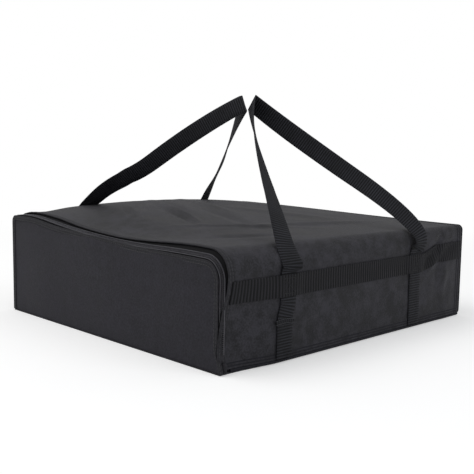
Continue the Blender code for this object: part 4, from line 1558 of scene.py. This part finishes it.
@dataclass
class Shell(SubAssembly):
    """The bottom and back: cloth, padding, lining and the corded seams."""

    cord: float = 0.0040
    proud: float = 0.0003
    lift: float = 0.0006
    cloth_inset: float = 0.0040
    lining_inset: float = 0.0109
    outline_reach: float = 0.16
    welt_size: tuple[float, float] = (0.0016, 0.0011)
    welt_foot: float = 0.0055
    welt_front: float = 0.013
    welt_back: float = 0.010
    welt_sink: float = 0.0001

    def slab(self, x: Array, y: Array, z: Array) -> Array:
        """Return a settled grid from X, Y and Z that broadcast together.

        The bottom keeps its Y, and half of its X where the wrap is drawn in.
        """
        flat = np.stack(np.broadcast_arrays(x, y, z), axis=-1).astype(float)
        settled = self.form.settle(flat)
        settled[..., 0] = (settled[..., 0] + flat[..., 0]) / 2
        settled[..., 1] = flat[..., 1]
        return settled

    def bottom(self) -> None:
        """Make the bottom's cloth, padding and lining as flat layers."""
        form = self.form
        edge = form.front + form.gap
        board = form.board_front
        layers = (
            ("bottom_cloth", Finish.CLOTH, "bottom_cover", self.cloth_inset, edge, 0.0, 0.0012),
            ("bottom_padding", Finish.FOAM, "foam_bottom", form.layer_liner, board, 0.0015, 0.0095),
            ("bottom_lining", Finish.LINER, "liner_bottom", self.lining_inset, board, 0.0098, 0.0106),
        )
        for name, finish, node, inset, front, low, high in layers:
            x = np.linspace(inset - form.half, form.half - inset, 60)[None, :]
            y = np.linspace(front, form.back - inset, 60)[:, None]
            soft = 0.0004 * np.sin(x * 40 + 0.6) * np.sin(y * 33 + 0.2)
            top = self.slab(x, y, high + (soft if finish is Finish.LINER else 0.0 * x))
            under = self.slab(x, y, low + 0.0 * x)
            piece = self.shell(name, (top, under), finish, "bag", (node,))
            self.declare(piece, finish, flat_size(top))

    def declare(self, piece: bpy.types.Object, finish: Finish, size: tuple[float, float]) -> None:
        """Take a layer, its finish and a flat size, and do nothing with them."""

    def section(self, inset: float) -> Array:
        """Return the closed outline of the back at an inset, in X and Z, from the left foot."""
        form = self.form
        t = form.places(14, 10, 60)
        rise = self.lift + self.proud + form.base_corner
        upper, _ = form.arch(t, form.back, inset, rise)
        radius = form.base_corner - inset
        reach = form.half - form.base_corner
        turn = np.linspace(0.0, -pi / 2, 9)[1:]
        right = np.stack([reach + radius * np.cos(turn), rise + radius * np.sin(turn)], axis=1)
        floor = np.linspace(reach, -reach, 42)[1:-1]
        flat = np.stack([floor, np.full(len(floor), rise - radius)], axis=1)
        left = right[::-1] * (-1, 1)
        return np.concatenate([upper[:, (0, 2)], right, flat, left[:-1]])

    def panel(self, inset: float, depth: float) -> Array:
        """Return a grid that fills the back's outline: rings that shrink to a line.

        Args:
            inset: How far inside the outer face.
            depth: The grid's depth.

        Returns:
            The rings, from the outline to the middle line.
        """
        outline = self.section(inset)
        middle = np.array([0.0, self.form.height / 2])
        reach = np.clip(outline * (1, 0), -self.outline_reach, self.outline_reach) * 0.98
        reach = reach + middle * (0, 1)
        share = (np.linspace(0.0, 1.0, 14) ** 0.8)[:, None, None]
        flat = outline[None] * (1 - share) + reach[None] * share
        y = np.full(flat.shape[:2], depth)
        return self.form.settle(np.stack([flat[..., 0], y, flat[..., 1]], axis=-1))

    def back(self) -> None:
        """Make the back's cloth, padding and lining."""
        form = self.form
        layers = (
            ("back_cloth", Finish.CLOTH, "back_cover", self.cloth_inset, 0.0, 0.0012),
            ("back_padding", Finish.FOAM, "foam_back", self.cloth_inset, 0.0015, 0.0095),
            ("back_lining", Finish.LINER, "liner_back", self.lining_inset, 0.0098, 0.0106),
        )
        for name, finish, node, inset, far, near in layers:
            outer = self.panel(inset, form.back - far)
            inner = self.panel(inset, form.back - near)
            piece = self.plate(name, outer, inner, finish)
            self.enter(piece, finish, "bag", (node,))
            self.declare(piece, finish, (2 * (form.half - inset), form.height - 2 * inset))

    def plate(self, name: str, outer: Array, inner: Array, finish: Finish) -> bpy.types.Object:
        """Return a closed plate from two sets of rings whose last ring is shut by a fill.

        Args:
            name: The piece's name.
            outer: The outer face's rings.
            inner: The inner face's rings.
            finish: Its finish.

        Returns:
            The new object, at the origin.
        """
        rows, columns = outer.shape[:2]
        count = rows * columns
        number = np.arange(count).reshape(rows, columns)
        faces = [grid_faces(rows, columns, True), grid_faces(rows, columns, True, count)[:, ::-1]]
        faces.append(rim_faces(number[0], number[0] + count, True))
        points = np.concatenate([outer.reshape(-1, 3), inner.reshape(-1, 3)])
        cut = points[:, (0, 2)]
        ends = [number[-1].tolist(), (number[-1] + count)[::-1].tolist()]
        return make_piece(
            name, points, np.concatenate(faces).tolist() + ends, self.wardrobe.get(finish), cut
        )

    def piping(self) -> None:
        """Make the cord round the back and the two cords along the bottom."""
        form = self.form
        inset = self.cord / 2 - self.proud
        outline = self.section(inset)
        y = np.full(len(outline), form.back - inset)
        path = form.settle(np.stack([outline[:, 0], y, outline[:, 1]], axis=1))
        tangent = along(path, closed=True)
        across = np.broadcast_to(DEEP, path.shape)
        up = unit(np.cross(across, tangent))
        ring = round_profile(self.cord, self.cord)
        lines = (path, across, up)
        self.sweep("back_cord", lines, ring, Finish.PIPING, "bag", ("back_piping",), closed=True)
        for name, side in (("bottom_piping_left", -1), ("bottom_piping_right", 1)):
            y = np.linspace(form.board_front, form.back - 0.004, 70)
            x = np.full(len(y), side * (form.half - inset))
            z = np.full(len(y), self.lift + self.cord / 2)
            path = form.settle(np.stack([x, y, z], axis=1))
            up = np.broadcast_to(RISE, path.shape)
            over = unit(np.cross(along(path), up))
            self.sweep(name + "_cord", (path, over, up), ring, Finish.PIPING, "bag", (name,))

    def welts(self) -> None:
        """Make the raised seam lines in front of the back's cord and over the bottom's cords."""
        form = self.form
        ring = round_profile(*self.welt_size, 6)
        t = form.places(24, 12, 80)
        lines = []
        for name, back in (("back_seam_line", 0.0088), ("back_seam_line_inner", 0.0140)):
            points, normal = form.arch(t, form.back - back, 0.0, self.welt_foot)
            lines.append((name, form.settle(points), normal))
        y = np.linspace(form.front + self.welt_front, form.back - self.welt_back, 90)
        for name, side in (("bottom_seam_line_left", -1), ("bottom_seam_line_right", 1)):
            for suffix, z in (("", 0.0078), ("_upper", 0.0112)):
                x = np.full(len(y), side * form.half)
                path = form.settle(np.stack([x, y, np.full(len(y), z)], axis=1))
                normal = np.broadcast_to((float(side), 0.0, 0.0), path.shape)
                lines.append((name + suffix, path, normal))
        for name, path, up in lines:
            over = unit(np.cross(along(path), up))
            self.sweep(name, (path - up * self.welt_sink, over, up), ring, Finish.PIPING, "bag")
        name, path, up = lines[0]
        row = path + up * 0.0002 + DEEP * 0.0025
        self.stitches("back_seam_stitches", row, up, "bag", 0.0040)

    def build(self) -> None:
        """Make the bottom, the back and the corded seams."""
        self.bottom()
        self.back()
        self.piping()
        self.welts()


@dataclass(frozen=True)
class Leg:
    """How one leg of a loop runs.

    It leaves its foot straight for a shift along the side and a rise, and then follows a cubic
    with a pull at each end. Its webbing turns towards the twist by a power of the share of the
    way to the peak. The foot turn is added just above the fold and fades on the way up.
    """

    shift: float
    rise: float
    foot_pull: tuple[float, float, float]
    peak_pull: tuple[float, float, float]
    power: float
    foot_turn: float = 0.0


@dataclass(frozen=True)
class LoopShape:
    """The two legs of one loop, and its side: -1 left or 1 right."""

    side: int
    front: Leg
    back: Leg


LOOPS = (
    LoopShape(
        1,
        Leg(0.0, 0.0, (-0.0285, 0.0067, 0.0655), (0.0449, -0.0450, -0.0556), 2.2, -0.46),
        Leg(0.0, 0.0, (0.0348, 0.0146, 0.0285), (0.0943, 0.0729, -0.0928), 1.6),
    ),
    LoopShape(
        -1,
        Leg(0.0255, 0.0150, (-0.0520, 0.0020, 0.0330), (0.0944, -0.0433, -0.0486), 1.2),
        Leg(0.0060, 0.0080, (0.0200, 0.0460, 0.0010), (0.0682, 0.0350, -0.0487), 2.0),
    ),
)


# Seven places across webbing in half widths, and how thick it is at each
WEB_ACROSS = np.array([-1.0, -0.94, -0.5, 0.0, 0.5, 0.94, 1.0])
WEB_THICK = np.array([0.35, 1.0, 1.0, 1.0, 1.0, 1.0, 0.35])


@dataclass
class Straps(SubAssembly):
    """The webbing: two side bands, and two straps that run up from the bottom into loops."""

    width: float = 0.0254
    thick: float = 0.0016
    rib_depth: float = 0.00042
    band_height: float = 0.0895
    front_foot: float = -0.1425
    back_foot: float = 0.1155
    fold_height: float = 0.1102
    peak_y: float = -0.0120
    peak_height: float = 0.3060
    lean_line: float = 0.029
    lean_gap: float = 0.0006
    peak_shift: float = 0.0012
    tilt: float = radians(55.0)
    twist: float = radians(90.0)
    seam_height: float = 0.048
    seam_shift: float = 0.0055
    turn_start: float = 0.007
    turn_run: float = 0.012
    clear_run: float = 0.030
    blend_below: float = 0.006
    blend_above: float = 0.010
    box_half: float = 0.0088
    wall_foot: float = 0.0052
    wall_gap: float = 0.004
    step_out: float = 0.0012
    lift_start: float = 0.150
    lift_run: float = 0.070
    low_start: float = 0.100
    low_run: float = 0.03

    def leg(self, side: int, leg: Leg, foot: Array, peak: Array, steps: int) -> Array:
        """Return a leg's middle line: a straight start, then a cubic to the peak.

        Args:
            side: -1 for the left loop and 1 for the right one.
            leg: How it runs.
            foot: Its lower end.
            peak: Its upper end.
            steps: The number of points of the cubic.

        Returns:
            The line's points.
        """
        mirror = np.array([side, 1.0, 1.0])
        start = foot + (side * self.step_out * (leg.rise > 0), leg.shift, leg.rise)
        rise = start + np.array(leg.foot_pull) * mirror
        bend = peak + np.array(leg.peak_pull) * mirror
        s = np.linspace(0.0, 1.0, steps)[:, None]
        r = 1.0 - s
        arc = start * r**3 + rise * 3 * s * r**2 + bend * 3 * s**2 * r + peak * s**3
        lap = foot + (start - foot) * np.linspace(0.0, 1.0, 13)[:-1, None]
        return np.concatenate([lap, arc])

    def directions(self, path: Array, share: Array, turn: Array, side: int) -> Array:
        """Return the directions across the webbing of a loop.

        Where the turn is nought the webbing lies flat against the side. A turn swings it about
        its length. What is outward there leans upward as the share of the way to the peak grows.

        Args:
            path: The webbing's middle line.
            share: The share of the way from a foot to the peak at each point, from 0 to 1.
            turn: The turn at each point.
            side: -1 for the left loop and 1 for the right one.

        Returns:
            One unit vector for each point.
        """
        tangent = along(path)
        flat = np.array([side, 0.0, 0.0])
        lean = np.array([side * cos(self.tilt), 0.0, sin(self.tilt)])
        outward = flat * (1 - share[:, None]) + lean * share[:, None]
        outward = unit(outward - np.sum(outward * tangent, axis=1, keepdims=True) * tangent)
        away = side * np.cross(outward, tangent)
        return np.cos(turn)[:, None] * away + np.sin(turn)[:, None] * outward

    def strap(self, shape: LoopShape) -> None:
        """Make one strap: up from the bottom under the band, round the loop and down again."""
        side = shape.side
        name = "right" if side > 0 else "left"
        form = self.form
        lean = self.width / 2 * cos(self.tilt) + self.thick / 2 * sin(self.tilt) + self.lean_gap / 2
        peak = np.array([self.lean_line + side * lean, self.peak_y, self.peak_height])
        peak[0] -= self.peak_shift * (side > 0)
        foot_x = side * (form.half + 2 * form.gap + self.thick * 1.5)
        wall_x = side * (form.half + form.gap + self.thick / 2)
        paths = []
        shares = []
        turns = []
        for foot_y, leg in ((self.front_foot, shape.front), (self.back_foot, shape.back)):
            foot = np.array([foot_x, foot_y, self.fold_height])
            arc = self.leg(side, leg, foot, peak, 90)
            z = np.linspace(self.wall_foot, self.fold_height - self.wall_gap, 40)
            wall = np.stack([np.full(len(z), wall_x), foot_y + self.shift(z, side, foot_y), z], axis=1)
            paths.append(self.ease(np.concatenate([wall, arc])))
            shares.append(np.concatenate([np.zeros(len(wall) + 12), np.linspace(0.0, 1.0, 90)]))
            z = paths[-1][:, 2] - self.fold_height
            foot_turn = leg.foot_turn * step((z + self.turn_start) / self.turn_run) * (1 - shares[-1]) ** 3
            clear = self.width / 2 * np.sin(np.abs(foot_turn)) * (1 - step(z / self.clear_run))
            paths[-1][:, 0] += side * clear
            turns.append(self.twist * shares[-1] ** leg.power + foot_turn)
        path = np.concatenate([paths[0], paths[1][-2::-1]])
        share = np.concatenate([shares[0], shares[1][-2::-1]])
        turn = np.concatenate([turns[0], turns[1][-2::-1]])
        across = self.directions(path, share, turn, side)
        length = travelled(path)
        pitch = STRAP_RIB / 6
        places = np.linspace(0.0, length[-1], int(length[-1] / pitch))
        path, across = resample(path, places, across)
        across = unit(across)
        up = unit(np.cross(across, along(path)))
        piece = self.ribbed("strap_" + name, path, across, up, STRAP_RIB, Finish.STRAP)
        nodes = (f"handle_{name}", f"anchor_{name}_front", f"anchor_{name}_back")
        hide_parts(*nodes)
        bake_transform(piece)
        LOG.info("%s blends from bag to handle_%s, webbing length %.3f m", piece.name, name, length[-1])

    def shift(self, z: Array, side: int, foot_y: float) -> Array:
        """Return how far a strap lies to the front below its seam: only the near one does."""
        near = (side > 0) * (foot_y < 0)
        return -self.seam_shift * near * (1 - step((z - self.seam_height + 0.002) / 0.026))

    def seam(self) -> None:
        """Make the seam where the near strap's lower piece is joined: a welt, sewn twice."""
        form = self.form
        half = self.width / 2 + 0.0006
        y = self.front_foot - self.seam_shift + np.linspace(-half - 0.0016, half, 24)
        x = np.full(len(y), form.half)
        z = self.seam_height + 0.0012 * np.sin((y - y[0]) / (y[-1] - y[0]) * pi)
        path = form.settle(np.stack([x, y, z], axis=1))
        path[:, 0] += form.gap + self.thick + 0.0004
        path[:, 2] = z
        over = unit(np.cross(along(path), np.broadcast_to((1.0, 0.0, 0.0), path.shape)))
        up = unit(np.cross(over, along(path)))
        up *= np.sign(up[:, :1])
        ring = round_profile(0.0034, 0.0016)
        self.sweep("strap_seam_welt", (path, over, up), ring, Finish.STRAP, "bag")
        for name, drop in (("strap_seam_stitches_upper", 0.0022), ("strap_seam_stitches_lower", -0.0024)):
            row = path + (0.0002, 0.0, drop)
            self.stitches(name, row, up, "bag", 0.0030)

    def ease(self, path: Array) -> Array:
        """Return a strap's path moved with the wrap under it.

        Below the fold it moves as the wrap does. Above the fold it is lifted by the top's lift,
        fading out over the first rise of the leg.

        Args:
            path: The strap's middle line beside the straight bag.

        Returns:
            The line beside the bag as it sits.
        """
        x, y, z = path[:, 0], path[:, 1], path[:, 2]
        flat = np.stack([x, y, z], axis=1)
        settled = self.form.settle(flat)
        shift = settled - flat
        lift = self.form.lift(x, y) * np.clip(z / self.form.height, 0, 1)
        lift *= step((z - self.fold_height + self.wall_gap) / (2 * self.wall_gap))
        lift *= 1 - step((z - self.lift_start) / self.lift_run)
        low = 1 - step((z - self.low_start) / self.low_run)
        return flat + np.stack([shift[:, 0] * low, shift[:, 1] * low, lift], axis=1)

    def ribbed(
        self,
        name: str,
        path: Array,
        across: Array,
        up: Array,
        rib: float,
        finish: Finish,
        relief: Array | float = 0.0,
    ) -> bpy.types.Object:
        """Return webbing along a path: a flat profile whose faces swell at each rib.

        Args:
            name: The piece's name.
            path: Its middle line.
            across: The direction across it at each point.
            up: The direction out of it at each point.
            rib: The length of one rib.
            finish: Its finish.
            relief: How far each of the seven points across stands out, one row for each ring.

        Returns:
            The new object, at the origin.
        """
        length = travelled(path)
        swell = 0.5 - 0.5 * np.cos(2 * pi * length / rib)
        swell = swell[:, None] ** 0.8
        half = self.width / 2
        body = (self.thick / 2 - self.rib_depth) * WEB_THICK + self.rib_depth * swell * WEB_THICK
        upper = np.stack([np.broadcast_to(WEB_ACROSS * half, body.shape), body], axis=-1)
        lower = upper * (1, -1)
        upper[..., 1] += relief
        lower[..., 1] += relief
        lower = lower[:, ::-1]
        profile = np.concatenate([upper, lower], axis=1)
        return make_sweep(name, path, across, up, profile, self.wardrobe.get(finish))

    def band(self, side: int) -> None:
        """Make a side band, which steps out over the two straps."""
        name = "right" if side > 0 else "left"
        form = self.form
        low = form.gap + self.thick
        high = low + form.gap + self.thick
        reach = self.width / 2 + 0.002
        stations = [(form.front + 0.0135, low)]
        for foot in (self.front_foot, self.back_foot):
            stations += [(foot - reach - 0.010, low), (foot - reach, high)]
            stations += [(foot + reach, high), (foot + reach + 0.010, low)]
        stations.append((form.back - 0.006, low))
        ys, outs = np.array(stations).T
        y = np.arange(ys[0], ys[-1], BAND_RIB / 6)
        out = np.interp(y, ys, outs) - self.thick / 2
        out = np.convolve(np.pad(out, 4, mode="edge"), np.ones(9) / 9, mode="valid")
        lines = []
        for edge in WEB_ACROSS / 2:
            z = self.band_height + edge * self.width + self.crumple(y, edge) * (side > 0)
            x = np.full(len(y), side * form.half)
            line = form.settle(np.stack([x, y, z], axis=1))
            line[:, 2] = z
            lines.append(line + np.outer(out, (side, 0, 0)))
        path = (lines[0] + lines[-1]) / 2
        across = unit(lines[-1] - lines[0])
        up = unit(np.cross(across, along(path)))
        relief = np.stack([np.sum((line - path) * up, axis=1) for line in lines], axis=1)
        piece = self.ribbed("band_" + name, path, across, up, BAND_RIB, Finish.BAND, relief)
        self.enter(piece, Finish.BAND, "bag", ("side_band_" + name,))

    def crumple(self, y: Array, edge: float) -> Array:
        """Return the rise of the band's edge behind the back crossing, where it is pushed up."""
        behind = step((y - self.back_foot - 0.014) / 0.045)
        return behind * (0.009 + 0.003 * edge)

    def boxes(self) -> None:
        """Sew a box with a cross in it where each band holds a strap."""
        form = self.form
        for side in (-1, 1):
            for end, foot in (("front", self.front_foot), ("back", self.back_foot)):
                corners = np.array([(-1, -1), (1, -1), (1, 1), (-1, 1), (-1, -1), (1, 1), (1, -1), (-1, 1)])
                marks = []
                for a, b in zip(corners[:-1], corners[1:]):
                    marks.append(a + np.linspace(0, 1, 12)[:-1, None] * (b - a))
                flat = np.concatenate(marks) * self.box_half
                out = form.gap * 2 + self.thick * 2 + 0.0001
                points = np.stack(
                    [
                        np.full(len(flat), side * form.half),
                        foot + flat[:, 0],
                        self.band_height + flat[:, 1],
                    ],
                    axis=1,
                )
                settled = form.settle(points)
                settled[:, 2] = points[:, 2]
                settled[:, 0] += side * out
                up = np.broadcast_to((float(side), 0.0, 0.0), settled.shape)
                name = f"box_stitches_{'right' if side > 0 else 'left'}_{end}"
                self.stitches(name, settled, up, "bag", 0.0036, finish=Finish.DARK_THREAD)

    def build(self) -> None:
        """Make both bands, both straps and the sewn boxes."""
        for side in (-1, 1):
            self.band(side)
        for shape in LOOPS:
            self.strap(shape)
        self.seam()
        self.boxes()


@dataclass
class Hardware(SubAssembly):
    """The slider and its pull, whose solids stay and take the painted finish."""

    def build(self) -> None:
        """Dress the two solids."""
        for node in ("slider", "pull_tab"):
            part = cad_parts[node]
            part.data.materials.clear()
            part.data.materials.append(self.wardrobe.get(Finish.METAL))
            LOG.info("%s keeps its solid", node)


@dataclass
class Studio:
    """The camera, the pale floor and the soft light."""

    azimuth: float = radians(-45.683)
    pitch: float = radians(-6.843)
    roll: float = radians(0.890)
    place: tuple[float, float, float] = (0.81595, -0.79877, 0.24925)
    sensor: float = 36.0
    lens: float = 781.58 / 474 * 36.0
    floor_grey: float = 0.86
    floor_glow: float = 0.36
    floor_half: float = 30.0
    fade_start: float = 0.45
    fade_run: float = 0.9
    world_level: float = 0.48

    def camera(self) -> None:
        """Place the camera where the photograph was taken from."""
        data = bpy.data.cameras.new("photo_camera")
        data.sensor_width = self.sensor
        data.lens = self.lens
        made = bpy.data.objects.new("photo_camera", data)
        bpy.context.scene.collection.objects.link(made)
        level = cos(self.pitch)
        ahead = Vector((sin(self.azimuth) * level, cos(self.azimuth) * level, sin(self.pitch)))
        right = Vector((cos(self.azimuth), -sin(self.azimuth), 0.0))
        up = right.cross(ahead)
        right2 = right * cos(self.roll) + up * sin(self.roll)
        up2 = up * cos(self.roll) - right * sin(self.roll)
        turn = Matrix((right2, up2, -ahead)).transposed()
        made.matrix_world = Matrix.Translation(self.place) @ turn.to_4x4()
        bpy.context.scene.camera = made

    def floor(self) -> None:
        """Lay a pale floor that keeps the bag's shadow and fades into white."""
        mesh = bpy.data.meshes.new("studio_floor")
        size = self.floor_half
        corners = [(-size, -size, 0.0), (size, -size, 0.0), (size, size, 0.0), (-size, size, 0.0)]
        mesh.from_pydata(corners, [], [(0, 1, 2, 3)])
        made = bpy.data.objects.new("studio_floor", mesh)
        made.location = (0.0, 0.0, -0.0002)
        bpy.context.scene.collection.objects.link(made)
        graph = Graph("floor_white")
        parts = graph.node("ShaderNodeSeparateXYZ", {}, {0: graph.place()})
        x, y = Term(graph, parts.outputs[0]), Term(graph, parts.outputs[1])
        far = (x * x + y * y).join("SQRT").over(self.fade_start, self.fade_run)
        seen = graph.term("ShaderNodeLightPath", {}, {}, "Is Camera Ray")
        graph.shader.inputs["Base Color"].default_value = (*[self.floor_grey] * 3, 1.0)
        graph.shader.inputs["Roughness"].default_value = 0.9
        graph.shader.inputs["Specular IOR Level"].default_value = 0.0
        graph.shader.inputs["Emission Strength"].default_value = self.floor_glow
        lift = graph.node("ShaderNodeEmission", {}, {"Color": (1, 1, 1, 1), "Strength": 1.0})
        mix = graph.node("ShaderNodeMixShader", {}, {0: far * seen})
        links = graph.tree.links
        links.new(graph.shader.outputs[0], mix.inputs[1])
        links.new(lift.outputs[0], mix.inputs[2])
        links.new(seen.socket, graph.shader.inputs["Emission Color"])
        output = next(n for n in graph.tree.nodes if n.type == "OUTPUT_MATERIAL")
        links.new(mix.outputs[0], output.inputs["Surface"])
        mesh.materials.append(graph.material)

    def light(self) -> None:
        """Hang a large soft lamp over the bag and fill from all round."""
        world = bpy.data.worlds.new("studio_world")
        bpy.context.scene.world = world
        world.use_nodes = True
        nodes, links = world.node_tree.nodes, world.node_tree.links
        back = nodes["Background"]
        back.inputs["Color"].default_value = (1.0, 1.0, 1.0, 1.0)
        path = nodes.new("ShaderNodeLightPath")
        white = nodes.new("ShaderNodeMath")
        white.operation = "MAXIMUM"
        links.new(path.outputs["Is Camera Ray"], white.inputs[0])
        white.inputs[1].default_value = self.world_level
        links.new(white.outputs[0], back.inputs["Strength"])
        for name, place, size, power, colour in (
            ("key_lamp", (-0.6, -0.9, 1.9), 1.6, 14.0, (1.0, 1.0, 1.0)),
            ("side_lamp", (1.8, 0.3, 1.2), 1.2, 6.0, (0.90, 0.95, 1.0)),
        ):
            lamp = bpy.data.lights.new(name, "AREA")
            lamp.size = size
            lamp.energy = power
            lamp.color = colour
            made = bpy.data.objects.new(name, lamp)
            aim = Vector((0.0, 0.0, 0.1)) - Vector(place)
            made.matrix_world = Matrix.Translation(place) @ aim.to_track_quat("-Z", "Y").to_matrix().to_4x4()
            bpy.context.scene.collection.objects.link(made)

    def build(self) -> None:
        """Make the studio."""
        self.camera()
        self.floor()
        self.light()
        bpy.context.scene.view_settings.view_transform = "Standard"


def main() -> None:
    """Build the studio and the bag, sub-assembly by sub-assembly."""
    logging.basicConfig(level=logging.INFO, format="%(message)s")
    Studio().build()
    wardrobe = Wardrobe()
    Wrap(FORM, wardrobe).build()
    mouth = Mouth(FORM, wardrobe)
    mouth.build()
    Flap(FORM, wardrobe, mouth).build()
    Shell(FORM, wardrobe).build()
    Straps(FORM, wardrobe).build()
    Hardware(FORM, wardrobe).build()


if __name__ == "__main__":
    main()
